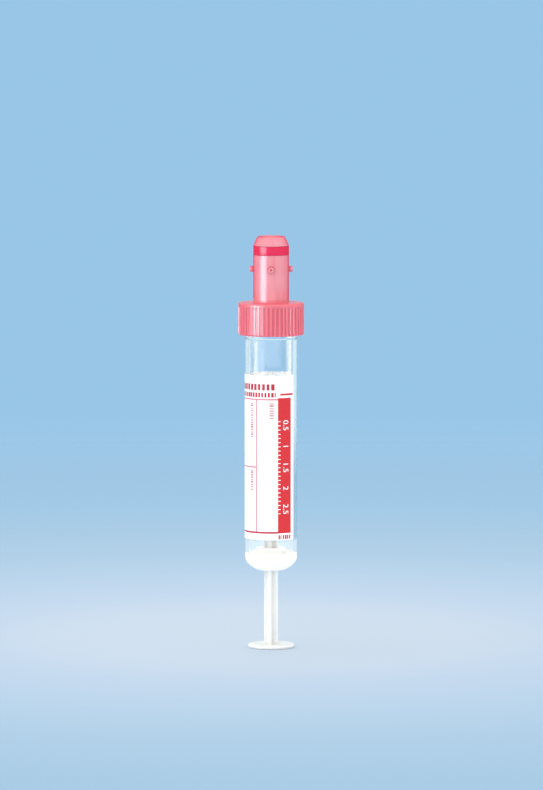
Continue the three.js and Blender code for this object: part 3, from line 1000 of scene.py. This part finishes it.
@dataclass
class Plunger(Assembly):
    """The rod: thumb plate, cross-shaped stem, break notch and barbed head, in one moulding."""

    plate_thickness: float = 0.85
    plate_rounding: float = 0.22
    rib_reach: float = 1.7
    rib_half: float = 0.5
    tip_rounding: float = 0.12
    root_rounding: float = 0.22
    cross_turn: float = -16.0
    notch_above_base: float = 28.0
    notch_height: float = 1.2
    notch_radius: float = 0.9
    notch_ramp: float = 0.45  # how far the ribs take to slope down to the notch
    notch_share: float = 0.72  # how much of their reach they have at its edges
    collar_height: float = 0.8
    neck_height: float = 1.4
    neck_radius: float = 1.35
    head_height: float = 2.0
    head_radius: float = 2.2
    head_tip_radius: float = 1.3
    gate: tuple[float, float] = (1.1, 0.12)  # radius and depth of the gate mark
    dish: tuple[float, float, float] = (0.9, 0.2, 0.06)  # the dish's rim, slope and depth
    flare: tuple[tuple[float, float], ...] = ((0.0, 1.1), (0.12, 1.04), (0.4, 1.0))  # the stem's foot
    embed: float = 0.25  # how far forms of one moulding reach into each other

    def plate(self, radius: float) -> Shape:
        """The thumb plate, dished a little on top and with a gate mark under it."""
        gate, sunk = self.gate
        rim, slope, dish = self.dish
        thick = self.plate_thickness
        return Shape.turned(
            [
                (0, sunk),
                (gate, sunk, 0.05),
                (gate, 0, 0.05),
                (radius, 0, self.plate_rounding),
                (radius, thick, self.plate_rounding),
                (radius - rim, thick, 0.1),
                (radius - rim - slope, thick - dish, 0.1),
                (0, thick - dish),
            ]
        )

    def cross(self, levels: Sequence[tuple[float, float]]) -> Shape:
        """A length of the cross-shaped stem, with its scale at each level."""
        outline = []
        for quarter in range(4):
            turn = Matrix.Rotation(math.radians(quarter * 90 + self.cross_turn), 2)
            for x, y, rounding in (
                (self.rib_reach, -self.rib_half, self.tip_rounding),
                (self.rib_reach, self.rib_half, self.tip_rounding),
                (self.rib_half, self.rib_half, self.root_rounding),
            ):
                outline.append((*(turn @ Vector((x, y))), rounding))
        return Shape.raised(outline, levels)

    def build(self) -> None:
        """Builds the rod."""
        rod, base = Extent.of("plunger_rod"), Extent.of("tube_base")
        thick = self.plate_thickness
        notch = base.bottom + self.notch_above_base - self.notch_height / 2
        notch_top = notch + self.notch_height
        head = rod.top - self.head_height
        collar_top = head - self.neck_height
        collar = collar_top - self.collar_height
        collar_radius = math.hypot(self.rib_reach, self.rib_half)
        foot = [(thick + rise, scale) for rise, scale in self.flare]
        buried, thin, ramp = (thick - self.embed, foot[0][1]), self.notch_share, self.notch_ramp
        lower = self.cross([buried, *foot, (notch - ramp, 1.0), (notch, thin)])
        upper = self.cross([(notch_top, thin), (notch_top + ramp, 1.0), (collar + self.embed, 1.0)])
        waist = Shape.turned(
            [
                (0, notch - self.embed),
                (self.notch_radius, notch - self.embed),
                (self.notch_radius, notch_top + self.embed),
                (0, notch_top + self.embed),
            ],
            steps=48,
        )
        barb = Shape.turned(
            [
                (0, collar),
                (collar_radius, collar, 0.12),
                (collar_radius, collar_top, 0.12),
                (self.neck_radius, collar_top, 0.1),
                (self.neck_radius, head, 0.1),
                (self.head_radius, head, 0.15),
                (self.head_tip_radius, rod.top, 0.3),
                (0, rod.top),
            ],
            steps=64,
        )
        self.keep("rod_moulding", self.plate(rod.radius).combined([lower, waist, upper, barb]))

    def dress(self) -> None:
        """Gives the rod its finish and its body."""
        self.place("rod_moulding", Body.ROD, Slot.WHITE, MILKY, "plunger_rod")


@dataclass
class PistonGroup(Assembly):
    """The piston with its rubber seal, and the heap of coated beads that lies on it."""

    lip_height: float = 1.2
    socket_radius: float = 3.75
    socket_depth: float = 2.9
    chamber_radius: float = 2.4
    chamber_top_radius: float = 1.4
    chamber_height: float = 2.2
    throat_radius: float = 1.45
    groove_depth: float = 0.9
    edge: float = 0.3
    seal_lip: float = 0.45
    seal_waist: float = 0.2
    waist: tuple[float, ...] = (2.4, 2.1, 1.3, 1.0)  # its corners' levels under the seal's groove
    waist_depth: float = 0.35
    dish: tuple[float, float, float] = (2.2, 1.9, 0.25)  # its two radii and its depth
    dent: float = 0.09  # how far a bead's surface sinks at most, as a share of its radius

    def build_piston(self) -> None:
        """Builds the piston: a socket below for the rod's head, and the seal's groove."""
        piston, seal = Extent.of("piston"), Extent.of("piston_seal")
        outer = piston.radius
        groove = outer - self.groove_depth
        groove_low, groove_high = seal.bottom - SLIDING_GAP, seal.top + SLIDING_GAP
        lip = piston.bottom + self.socket_depth
        lip_top = lip + self.lip_height
        chamber_top = lip_top + self.chamber_height
        waist = [groove_low - under for under in self.waist]
        dish_edge, dish_floor, dish = self.dish
        shape = Shape.turned(
            [
                (0, chamber_top),
                (self.chamber_top_radius, chamber_top),
                (self.chamber_radius, lip_top),
                (self.throat_radius, lip_top, 0.1),
                (self.throat_radius, lip, 0.1),
                (self.socket_radius, lip),
                (self.socket_radius, piston.bottom, 0.15),
                (outer, piston.bottom, self.edge),
                (outer, waist[0], 0.12),
                (outer - self.waist_depth, waist[1], 0.12),
                (outer - self.waist_depth, waist[2], 0.12),
                (outer, waist[3], 0.12),
                (outer, groove_low, 0.08),
                (groove, groove_low, 0.1),
                (groove, groove_high, 0.1),
                (outer, groove_high, 0.08),
                (outer, piston.top, self.edge),
                (dish_edge, piston.top, 0.2),
                (dish_floor, piston.top - dish, 0.2),
                (0, piston.top - dish),
            ]
        )
        self.keep("piston_moulding", shape)

    def build_seal(self) -> None:
        """Builds the seal: a ring with a wiping lip at each edge."""
        seal, piston = Extent.of("piston_seal"), Extent.of("piston")
        inner = piston.radius - self.groove_depth + SLIDING_GAP
        outer = seal.radius
        shape = Shape.turned(
            [
                (inner, seal.bottom, 0.1),
                (outer, seal.bottom, 0.12),
                (outer, seal.bottom + self.seal_lip, 0.12),
                (outer - self.seal_waist, seal.centre.z, 0.3),
                (outer, seal.top - self.seal_lip, 0.12),
                (outer, seal.top, 0.12),
                (inner, seal.top, 0.1),
            ]
        )
        self.keep("seal_ring", shape)

    @staticmethod
    def granule(node: str) -> str:
        """The name of the piece that stands for a packed bead."""
        return node.replace("bead", "granule")

    def build_bead(self, node: str) -> None:
        """Builds one bead: a ball with shallow dents, which stays inside its packed ball."""
        bead = Extent.of(node)
        radius = (bead.top - bead.bottom) / 2
        shape = Shape()
        bmesh.ops.create_icosphere(shape.mesh, subdivisions=4, radius=1.0)
        seed = bead.centre * 3.7

        def dented(corner: Vector) -> Vector:
            """Where a corner of the ball goes."""
            broad = noise.noise(corner * 0.9 + seed)
            fine = noise.noise(corner * 2.6 + seed)
            sink = self.dent * (0.5 + 0.5 * broad) + 0.25 * self.dent * (0.5 + 0.5 * fine)
            return bead.centre + corner * radius * (1 - sink)

        self.keep(self.granule(node), shape.reshaped(dented))

    def build(self) -> None:
        """Builds every piece of the group."""
        self.build_piston()
        self.build_seal()
        for node in BEADS:
            self.build_bead(node)

    def dress(self) -> None:
        """Gives each piece its finish and its body."""
        self.place("piston_moulding", Body.PISTON, Slot.WHITE, WHITE, "piston")
        self.place("seal_ring", Body.PISTON, Slot.SEAL, BLACK_RUBBER, "piston_seal")
        for node in BEADS:
            self.place(self.granule(node), Body.PISTON, Slot.BEAD, BEAD_WHITE, node)


@dataclass
class Tube(Assembly):
    """The clear barrel with its rounded base and its paper label."""

    wall: float = 1.0
    neck_step: float = 0.1
    neck_slope: float = 0.3
    neck_length: float = 6.6
    rim_rounding: float = 0.25
    thread_below_rim: float = 1.4
    thread: Thread = Thread()
    dome_drop: float = 4.0
    dome_height: float = 3.5
    skirt_height: float = 1.0
    skirt_wall: float = 0.5
    hole_radius: float = 1.92
    boss_radius: float = 3.6
    boss_undercut: float = 0.25
    label_gap: float = 0.03
    paper: float = 0.08
    label_start: float = 65.0
    label_sweep: float = 262.0
    ink: float = 0.012
    digit_size: float = 2.2
    scale_top: float = 56.5
    scale_angle: float = 33.0  # from the front, towards +X
    half_millilitre: float = 500.0  # cubic millimetres
    numbers: int = 5  # how many the scale has

    def build_base(self) -> None:
        """Builds the base: dome, skirt round the barrel's end, floor, and the boss with its snap bead."""
        base, barrel = Extent.of("tube_base"), Extent.of("tube_barrel")
        outer = base.radius
        equator = base.bottom + self.dome_height
        skirt = equator + self.skirt_height
        floor = barrel.bottom - SLIDING_GAP
        neck = self.boss_radius - self.boss_undercut
        steps = 14
        first = math.asin(self.dome_height / self.dome_drop)
        dome = []
        for step in range(steps + 1):
            angle = first * (1 - step / steps)
            dome.append((outer * math.cos(angle), equator - self.dome_drop * math.sin(angle)))
        shape = Shape.turned(
            [
                (self.hole_radius, base.bottom, 0.15),
                *dome,
                (outer, skirt, 0.12),
                (outer - self.skirt_wall, skirt, 0.08),
                (outer - self.skirt_wall, floor),
                (neck, floor, 0.15),
                (neck, base.top - 4 * self.boss_undercut, 0.05),
                (self.boss_radius, base.top - 3 * self.boss_undercut, 0.1),
                (self.boss_radius, base.top - self.boss_undercut, 0.1),
                (neck, base.top, 0.08),
                (self.hole_radius, base.top, 0.1),
            ]
        )
        self.keep("base_moulding", shape)

    def build_barrel(self) -> None:
        """Builds the barrel: spigot behind the base's skirt, straight wall, and threaded neck."""
        barrel, base = Extent.of("tube_barrel"), Extent.of("tube_base")
        outer = base.radius
        bore = outer - self.wall
        spigot = outer - self.skirt_wall - SLIDING_GAP
        skirt = base.bottom + self.dome_height + self.skirt_height
        neck = outer - self.neck_step
        neck_z = barrel.top - self.neck_length
        wall = Shape.turned(
            [
                (bore, barrel.bottom, 0.15),
                (spigot, barrel.bottom, 0.1),
                (spigot, skirt + 0.02, 0.03),
                (outer, skirt + 0.02, 0.06),
                (outer, neck_z + self.neck_step - self.neck_slope, 0.1),
                (neck, neck_z + self.neck_step, 0.1),
                (neck, barrel.top, self.rim_rounding),
                (bore, barrel.top, self.rim_rounding),
            ]
        )
        thread = self.thread.wound(neck, barrel.radius, barrel.top - self.thread_below_rim)
        self.keep("barrel_wall", wall.combined([thread]))

    def build_label(self) -> None:
        """Builds the label as a sheet wound round the barrel, and maps it flat."""
        label, base = Extent.of("label"), Extent.of("tube_base")
        inner = base.radius + self.label_gap
        outer = inner + self.paper
        outline = band(inner, outer, label.bottom, label.top)
        shape = Shape.turned(outline, steps=ROUND, sweep=self.label_sweep)
        height = label.top - label.bottom
        layer = shape.mesh.loops.layers.uv.new("sheet")
        middle = (inner + outer) / 2
        for face in shape.mesh.faces:
            spot = face.calc_center_median()
            outside = spot.xy.length > middle and face.normal.xy.dot(spot.xy) > 0.5
            face.material_index = 0 if outside else 1
            for loop in face.loops:
                angle = math.degrees(math.atan2(loop.vert.co.y, loop.vert.co.x)) % 360
                share = angle / self.label_sweep if angle < self.label_sweep + 1 else 0.0
                loop[layer].uv = (share, (loop.vert.co.z - label.bottom) / height)
        shape.moved(Matrix.Rotation(math.radians(self.label_start), 4, "Z"))
        self.keep("paper_label", shape)
        front = LabelPaper(
            "label_print",
            "fdfdfc",
            "cf2028",
            "b3172e",
            "c65a70",
            radius=outer,
            start=self.label_start,
            sweep=self.label_sweep,
            bottom=label.bottom,
            height=height,
        )
        # The paper's back glows with painted light, standing for light through the paper.
        back = Ink("label_back", "f3f2ee", front.thin, lit=0.3)
        for finish in (front, back):
            self.pieces["paper_label"].data.materials.append(finish.material())

    def digit(self, text: str, level: float, radius: float) -> Shape:
        """A number that reads downwards, cut as thin ink on a round wall.

        Args:
            text: the number.
            level: the height of its middle.
            radius: the wall's radius.

        Returns:
            The number.
        """
        words = bpy.data.curves.new("number", "FONT")
        words.body = text
        words.size = self.digit_size
        words.align_x = "CENTER"
        words.align_y = "CENTER"
        writing = bpy.data.objects.new("number", words)
        bpy.context.scene.collection.objects.link(writing)
        evaluated = writing.evaluated_get(bpy.context.evaluated_depsgraph_get())
        flat = bpy.data.meshes.new_from_object(evaluated)
        shape = Shape()
        shape.mesh.from_mesh(flat)
        bpy.data.objects.remove(writing)
        bpy.data.curves.remove(words)
        bpy.data.meshes.remove(flat)
        shape.cleaned()
        bmesh.ops.triangulate(shape.mesh, faces=shape.mesh.faces[:])
        bmesh.ops.subdivide_edges(shape.mesh, edges=shape.mesh.edges[:], cuts=2, use_grid_fill=True)
        grown = bmesh.ops.extrude_face_region(shape.mesh, geom=shape.mesh.faces[:], use_keep_orig=True)
        raised = [item for item in grown["geom"] if isinstance(item, bmesh.types.BMVert)]
        bmesh.ops.translate(shape.mesh, vec=UP * self.ink, verts=raised)

        def wrapped(corner: Vector) -> Vector:
            """Lays a corner of the flat number on the round wall."""
            angle = math.radians(FRONT + self.scale_angle) + corner.y / radius
            out = radius + corner.z
            return Vector((out * math.cos(angle), out * math.sin(angle), level - corner.x))

        return shape.reshaped(wrapped).cleaned()

    def build_digits(self) -> None:
        """Builds the volume scale's numbers, half a millilitre apart along the bore."""
        base = Extent.of("tube_base")
        radius = base.radius + self.label_gap + self.paper + 0.003
        step = self.half_millilitre / (math.pi * (base.radius - self.wall) ** 2)
        whole = Shape()
        for order in range(self.numbers):
            number = self.digit(f"{(order + 1) / 2:g}", self.scale_top - order * step, radius)
            data = bpy.data.meshes.new("number")
            number.mesh.to_mesh(data)
            number.mesh.free()
            whole.mesh.from_mesh(data)
            bpy.data.meshes.remove(data)
        self.keep("scale_numbers", whole)

    def build(self) -> None:
        """Builds every piece of the tube."""
        self.build_base()
        self.build_barrel()
        self.build_label()
        self.build_digits()

    def dress(self) -> None:
        """Gives each piece its finish and its body."""
        self.place("base_moulding", Body.TUBE, Slot.WHITE, WHITE, "tube_base")
        barrel, label = Extent.of("tube_barrel"), Extent.of("label")
        step = barrel.top - self.neck_length
        clear = ClearPlastic("clear_plastic", "f4f9fc", step=step, foot=label.bottom)
        self.place("barrel_wall", Body.TUBE, Slot.CLEAR, clear, "tube_barrel")
        self.pieces["barrel_wall"].visible_shadow = False
        self.place("paper_label", Body.TUBE, Slot.PAPER, WHITE_INK, "label")
        self.place("scale_numbers", Body.TUBE, Slot.PAPER, WHITE_INK)


@dataclass
class Closure(Assembly):
    """The screw cap with its nozzle, and what sits in it: ring, septum, retainer and gasket."""

    plate: float = 1.0
    bore: float = 7.25
    rib_count: int = 48
    rib_columns: int = 10  # facets round for each rib
    rib_height: float = 0.2
    crest_half: float = 0.22  # of the ribs' pitch
    foot_half: float = 0.32  # of the ribs' pitch
    rim_band: float = 0.7
    valley_end: float = 0.35  # how far a valley takes to run out under the rim band
    rounding: float = 0.4
    nozzle_rounding: float = 0.35
    ring_depth: float = 0.5
    tip_inset: float = 1.05
    tip_rounding: float = 0.45
    tip_bore: float = 2.5
    pocket: float = 3.4
    thread_crest_radius: float = 6.65
    thread_below_rim: float = 2.55
    thread: Thread = Thread()
    peg_radius: float = 0.725
    peg_proud: float = 0.91
    peg_below_ring: float = 3.5
    dimple: tuple[float, float] = (0.3, 0.5)  # radius and depth
    relief: tuple[float, float] = (0.17, 0.16)  # width and depth of the groove round a peg's foot
    peg_facets: int = 40
    septum_dishes: tuple[float, float] = (0.3, 0.25)  # their depths below and above
    sleeve_wall: float = 1.05
    flange_height: float = 0.9
    gasket_gap: float = 0.4  # between the retainer's flange and the gasket

    def ribbed(self, corner: Vector, outer: float, grip_top: float) -> Vector:
        """Sinks the valleys between the grip ribs into a plain round wall.

        Args:
            corner: a corner of the wall.
            outer: the wall's radius, which the crests keep.
            grip_top: where the ribs end under the rim band.

        Returns:
            Where the corner goes.
        """
        radius = corner.xy.length
        core = self.bore + 0.2
        if radius < core or corner.z > grip_top:
            return corner
        pitch = math.tau / self.rib_count
        phase = (math.atan2(corner.y, corner.x) / pitch) % 1
        from_crest = min(phase, 1 - phase)
        valley = smooth_step(self.crest_half, self.foot_half, from_crest)
        end = smooth_step(0, self.valley_end, grip_top - corner.z)
        share = (radius - core) / (outer - core)
        sunk = radius - self.rib_height * valley * end * share
        return Vector((corner.x * sunk / radius, corner.y * sunk / radius, corner.z))

    @staticmethod
    def aimed(shape: Shape, level: float, turn: float) -> Shape:
        """Lays a form that was turned round the Z axis on its side, pointing outwards."""
        out = Matrix.Rotation(math.radians(90), 4, "Y")
        round_axis = Matrix.Rotation(math.radians(turn), 4, "Z")
        return shape.moved(round_axis @ Matrix.Translation(UP * level) @ out)

    def peg(self, nozzle: float) -> Shape:
        """A round peg of the nozzle with a dimple in its face, still upright."""
        end = nozzle + self.peg_proud
        start = (self.pocket + nozzle) / 2
        dimple_radius, dimple_depth = self.dimple
        return Shape.turned(
            [
                (0, start),
                (self.peg_radius, start),
                (self.peg_radius, end, 0.12),
                (dimple_radius, end, 0.06),
                (dimple_radius * 0.6, end - dimple_depth),
                (0, end - dimple_depth),
            ],
            steps=self.peg_facets,
        )

    def foot_groove(self, nozzle: float) -> Shape:
        """What is cut out of the nozzle round a peg's foot, still upright."""
        width, depth = self.relief
        inner, outer = self.peg_radius - 0.1, self.peg_radius + width
        return Shape.turned(band(inner, outer, nozzle - depth, nozzle + 0.2), steps=self.peg_facets)

    def build_cap(self) -> None:
        """Builds the cap and its nozzle as one moulding."""
        cap, ring, gasket = Extent.of("screw_cap"), Extent.of("colour_ring"), Extent.of("cap_gasket")
        septum, barrel = Extent.of("septum"), Extent.of("tube_barrel")
        outer, nozzle = cap.radius, ring.radius
        plate = gasket.top + SLIDING_GAP
        shoulder = plate + self.plate
        grip_top = shoulder - self.rim_band
        ring_low, ring_high = ring.bottom - SLIDING_GAP, ring.top + SLIDING_GAP
        groove = nozzle - self.ring_depth
        seat = septum.top + SLIDING_GAP
        tip = nozzle - self.tip_inset
        ends = [grip_top - self.valley_end * share for share in (1.0, 0.75, 0.5, 0.25, 0.0)]
        wall = Shape.turned(
            [
                (self.bore, cap.bottom, 0.15),
                (outer, cap.bottom, self.rounding),
                *((outer, level) for level in ends),
                (outer, shoulder, self.rounding),
                (nozzle, shoulder, self.nozzle_rounding),
                (nozzle, ring_low, 0.04),
                (groove, ring_low),
                (groove, ring_high),
                (nozzle, ring_high, 0.1),
                (tip, cap.top, self.tip_rounding),
                (self.tip_bore, cap.top, 0.3),
                (self.tip_bore, seat, 0.1),
                (self.pocket, seat),
                (self.pocket, plate, 0.1),
                (self.bore, plate),
            ],
            steps=self.rib_count * self.rib_columns,
        )
        wall.reshaped(lambda corner: self.ribbed(corner, outer, grip_top))
        top = barrel.top - self.thread_below_rim
        thread = self.thread.wound(self.bore, self.thread_crest_radius, top)
        level = ring_low - self.peg_below_ring
        quarters = range(0, 360, 90)
        grooves = [self.aimed(self.foot_groove(nozzle), level, turn) for turn in quarters]
        pegs = [self.aimed(self.peg(nozzle), level, turn) for turn in quarters]
        self.keep("cap_moulding", wall.combined(grooves, "DIFFERENCE").combined([thread, *pegs]))

    def build_fittings(self) -> None:
        """Builds the crimson ring, the septum, its retainer and the gasket."""
        ring, septum = Extent.of("colour_ring"), Extent.of("septum")
        retainer, gasket = Extent.of("septum_retainer"), Extent.of("cap_gasket")
        groove = ring.radius - self.ring_depth + SLIDING_GAP
        plain = band(groove, ring.radius, ring.bottom, ring.top, outside=0.07)
        self.keep("crimson_ring", Shape.turned(plain))
        below, above = self.septum_dishes
        plug = [
            (0, septum.bottom + below),
            (1.7, septum.bottom + below, 0.2),
            (2.0, septum.bottom, 0.2),
            (septum.radius, septum.bottom, 0.2),
            (septum.radius, septum.top, 0.2),
            (1.7, septum.top, 0.15),
            (1.45, septum.top - above, 0.15),
            (0, septum.top - above),
        ]
        self.keep("septum_plug", Shape.turned(plug))
        sleeve, sleeve_bore = septum.radius, septum.radius - self.sleeve_wall
        flange = retainer.bottom + self.flange_height
        outline = [
            (sleeve_bore, retainer.bottom, 0.15),
            (retainer.radius, retainer.bottom, 0.15),
            (retainer.radius, flange, 0.1),
            (sleeve, flange, 0.15),
            (sleeve, retainer.top, 0.12),
            (sleeve_bore, retainer.top, 0.12),
        ]
        self.keep("retainer_sleeve", Shape.turned(outline))
        inner = retainer.radius + self.gasket_gap
        washer = band(inner, gasket.radius, gasket.bottom, gasket.top, 0.2, 0.2)
        self.keep("gasket_ring", Shape.turned(washer))

    def build(self) -> None:
        """Builds every piece of the closure."""
        self.build_cap()
        self.build_fittings()

    def pink(self) -> CapPlastic:
        """The cap's finish."""
        ring, crest = Extent.of("colour_ring"), Extent.of("screw_cap").radius
        shoulder = Extent.of("cap_gasket").top + SLIDING_GAP + self.plate
        return CapPlastic(
            "cap_plastic",
            "e67a85",
            "df6f7c",
            roughness=0.24,
            glow=0.5,
            depth=1.0,
            reach=(1.0, 0.2, 0.26),
            tint=(0.96, 0.68, 0.75),
            shine=1.0,
            index=1.6,
            # The nozzle's paler colour is painted light, as if lit through the thin wall.
            pale="e8b5b6",
            shoulder=shoulder,
            # Painted shade of the grip's valleys and of each peg's foot.
            deep="d8606f",
            valley=(crest - self.rib_height, crest - 0.03, shoulder - self.rim_band),
            peg=(ring.bottom - self.peg_below_ring, self.peg_radius, ring.radius),
        )

    def dress(self) -> None:
        """Gives each piece its finish and its body."""
        self.place("cap_moulding", Body.CAP, Slot.CAP, self.pink(), "screw_cap")
        self.place("crimson_ring", Body.CAP, Slot.RING, CRIMSON, "colour_ring")
        self.place("septum_plug", Body.CAP, Slot.PALE, PALE_RUBBER, "septum")
        self.place("retainer_sleeve", Body.CAP, Slot.WHITE, WHITE, "septum_retainer")
        self.place("gasket_ring", Body.GASKET, Slot.PALE, PALE_RUBBER, "cap_gasket")


# ----------------------------------------------------------------------------------------- studio


@dataclass
class Studio:
    """The pale floor, the plain blue backdrop, soft light and the camera."""

    distance: float = 1.5
    elevation: float = 5.3
    frame_height: float = 0.1979  # what the picture's height spans at the tube
    aim_share: float = 0.6145  # of the tube's height
    aim_aside: float = 0.00009
    backdrop: str = "99c6e7"
    far_wall: str = "cfe8f7"  # what gloss sees behind the tube
    white: float = 1.8  # radiance of the white room round the tube
    dim: float = 0.4  # what gloss sees of it
    rim: float = 0.95  # the same straight behind the tube
    # A lamp is its azimuth from the front, its spread and its radiance.
    key: tuple[float, float, float] = (-53.0, 28.0, 8.0)  # the lamp that gloss sees
    sides: tuple[tuple[float, float, float], ...] = (
        (96.0, 24.0, 10.5),
        (50.0, 45.0, 1.2),
        (-120.0, 16.0, 0.8),
    )  # those that the clear wall's inside mirrors
    warm: str = "ffe4b8"  # the colour of those
    under: float = 0.45  # radiance of the bounce card under the tube
    floor_radius: float = 0.62
    floor_light: float = 1.55  # how bright a white floor would be
    pool: float = 0.02  # how far behind the tube the middle of the painted pool of light is
    shades: tuple[tuple[float, str], ...] = (
        (0.0, "d4e4f4"),
        (0.09, "d0e2f3"),
        (0.141, "c6dcf3"),
        (0.218, "bad7ef"),
        (0.289, "b0d2ec"),
        (0.381, "a9cde8"),
        (0.48, "9fcbea"),
        (0.7, "9ac7e8"),
    )  # how the floor looks at shares of its radius: paler in the middle, a painted pool of light

    def build_camera(self) -> None:
        """Sets the camera, long-lensed and a little above the tube's middle."""
        data = bpy.data.cameras.new("camera")
        data.sensor_width = 36.0
        data.lens = data.sensor_width * self.distance / self.frame_height
        data.clip_start, data.clip_end = 0.05, 50.0
        camera = bpy.data.objects.new("camera", data)
        bpy.context.scene.collection.objects.link(camera)
        tall = CAD_BOX[1].z
        tilt = math.radians(self.elevation)
        back = Vector((0, -math.cos(tilt), math.sin(tilt)))
        camera.location = Vector((self.aim_aside, 0, tall * self.aim_share)) + back * self.distance
        camera.rotation_euler = (-back).to_track_quat("-Z", "Y").to_euler()
        bpy.context.scene.camera = camera

    def build_card(self) -> None:
        """Lays a bounce card on the floor, which only brightens what faces down."""
        data = bpy.data.lights.new("bounce_card", "AREA")
        data.shape = "DISK"
        data.size = 0.3
        data.energy = self.under * math.pi * math.pi * data.size**2 / 4
        card = bpy.data.objects.new("bounce_card", data)
        bpy.context.scene.collection.objects.link(card)
        card.location = (0, 0, 0.0005)
        card.rotation_euler = (math.pi, 0, 0)
        card.visible_camera = card.visible_glossy = card.visible_transmission = False

    def build_room(self) -> None:
        """Makes the world: a white room for the light, and blue where it is looked at.

        What is seen straight, or straight through the clear wall, is the backdrop. Gloss sees a dim
        room with one tall lamp, and what light meets inside the clear wall is brighter walls with
        some more lamps. Everything else gets the even white room.
        """
        world = bpy.data.worlds.new("studio")
        bpy.context.scene.world = world
        world.use_nodes = True
        nodes = Nodes(world.node_tree)
        rays = nodes.add("ShaderNodeLightPath").outputs
        path = {name: Value(nodes, output) for name, output in rays.items()}
        right, back, rise = nodes.split(nodes.add("ShaderNodeTexCoord").outputs["Generated"])
        through = path["Is Transmission Ray"]
        straight = (path["Glossy Depth"] + path["Diffuse Depth"]) < 0.5
        seen = path["Is Camera Ray"] | through * straight * rise.eased(0.02, 0.15, 1.0, 0.0)
        mirrored = through * (path["Diffuse Depth"] < 0.5)
        glossy = path["Is Reflection Ray"] * (path["Is Diffuse Ray"] < 0.5)

        def lamp(azimuth: float, spread: float, radiance: float) -> Value:
            """The light of a tall lamp with soft edges."""
            turn = math.radians(azimuth)
            towards = right * math.sin(turn) - back * math.cos(turn)
            edge, core = (math.cos(math.radians(spread * share)) for share in (1.0, 0.25))
            return towards.eased(edge, core, 0.0, radiance)

        front = (
            self.dim
            + back.eased(0.9, 0.99, 0.0, self.rim - self.dim)
            + lamp(*self.key) * rise.eased(0.1, 0.35, 1.0, 0.0)
        )
        walls = (
            1.0
            + rise.eased(0.0, 0.3, 0.0, 1.0)
            + back.eased(-1.0, -0.3, 2.0, 0.0)
            + back.eased(0.5, 0.9, 0.0, 0.2)
            - right.eased(-1.0, -0.4, 0.4, 0.0)
        )
        even = self.white * (1.0 - 0.12 * right - rise.eased(0.0, 1.0, 0.0, 0.2))
        strength = even + (front - even) * glossy + (walls - even) * mirrored
        blue = back.eased(0.2, 0.8) * (glossy | mirrored)
        wall = nodes.mix(blue, LIGHT, linear(self.far_wall))
        room = nodes.add("ShaderNodeBackground", {}, {0: wall, 1: strength})
        sides = sum((lamp(*side) for side in self.sides), 0.0) * mirrored
        lamps = nodes.add("ShaderNodeBackground", {}, {0: linear(self.warm), 1: sides})
        lit = nodes.add("ShaderNodeAddShader", {}, {0: room.outputs[0], 1: lamps.outputs[0]})
        backdrop = nodes.add("ShaderNodeBackground", {}, {0: linear(self.backdrop), 1: 1.0})
        views = {0: seen, 1: lit.outputs[0], 2: backdrop.outputs[0]}
        mixed = nodes.add("ShaderNodeMixShader", {}, views)
        nodes.add("ShaderNodeOutputWorld", {}, {0: mixed.outputs[0]})

    def lit(self, code: str) -> Colour:
        """The paint that looks like a colour in the room's light."""
        red, green, blue, alpha = linear(code)
        return (red / self.floor_light, green / self.floor_light, blue / self.floor_light, alpha)

    def build_floor(self) -> None:
        """Makes the floor: painted paler round the tube as a pool of light, bluer further out, and gone
        before its edge.
        """
        shape = Shape()
        bmesh.ops.create_circle(shape.mesh, cap_ends=True, segments=128, radius=self.floor_radius / MM)
        floor = shape.finished("floor")
        made = bpy.data.materials.new("floor")
        made.use_nodes = True
        nodes = Nodes(made.node_tree)
        # Painted pool of light: the floor's colour pales towards this point.
        places = {0: nodes.place(), 1: (0, self.pool, 0)}
        away = nodes.add("ShaderNodeVectorMath", {"operation": "DISTANCE"}, places).outputs["Value"]
        share = Value(nodes, away) * (1 / self.floor_radius)
        stops = [(at, self.lit(code)) for at, code in self.shades]
        inputs = {
            "Base Color": nodes.add("ShaderNodeValToRGB", {"stops": stops}, {0: share}).outputs[0],
            "Roughness": 0.8,
            "Specular IOR Level": 0.1,
            "Alpha": share.eased(0.6, 0.98, 1.0, 0.0),
        }
        nodes.add("ShaderNodeOutputMaterial", {}, {0: nodes.principled(inputs)})
        floor.data.materials.append(made)

    def build(self) -> None:
        """Sets up the camera, the lamps, the room and the floor."""
        self.build_camera()
        self.build_card()
        self.build_room()
        self.build_floor()
        bpy.context.scene.view_settings.view_transform = "Standard"


def main() -> None:
    """Builds and dresses every sub-assembly, and writes down how large the result is."""
    logging.basicConfig(level=logging.INFO, format="%(name)s: %(message)s")
    Studio().build()
    for assembly in (Plunger(), PistonGroup(), Tube(), Closure()):
        log.info("building %s", type(assembly).__name__)
        assembly.build()
        assembly.dress()


if __name__ == "__main__":
    main()
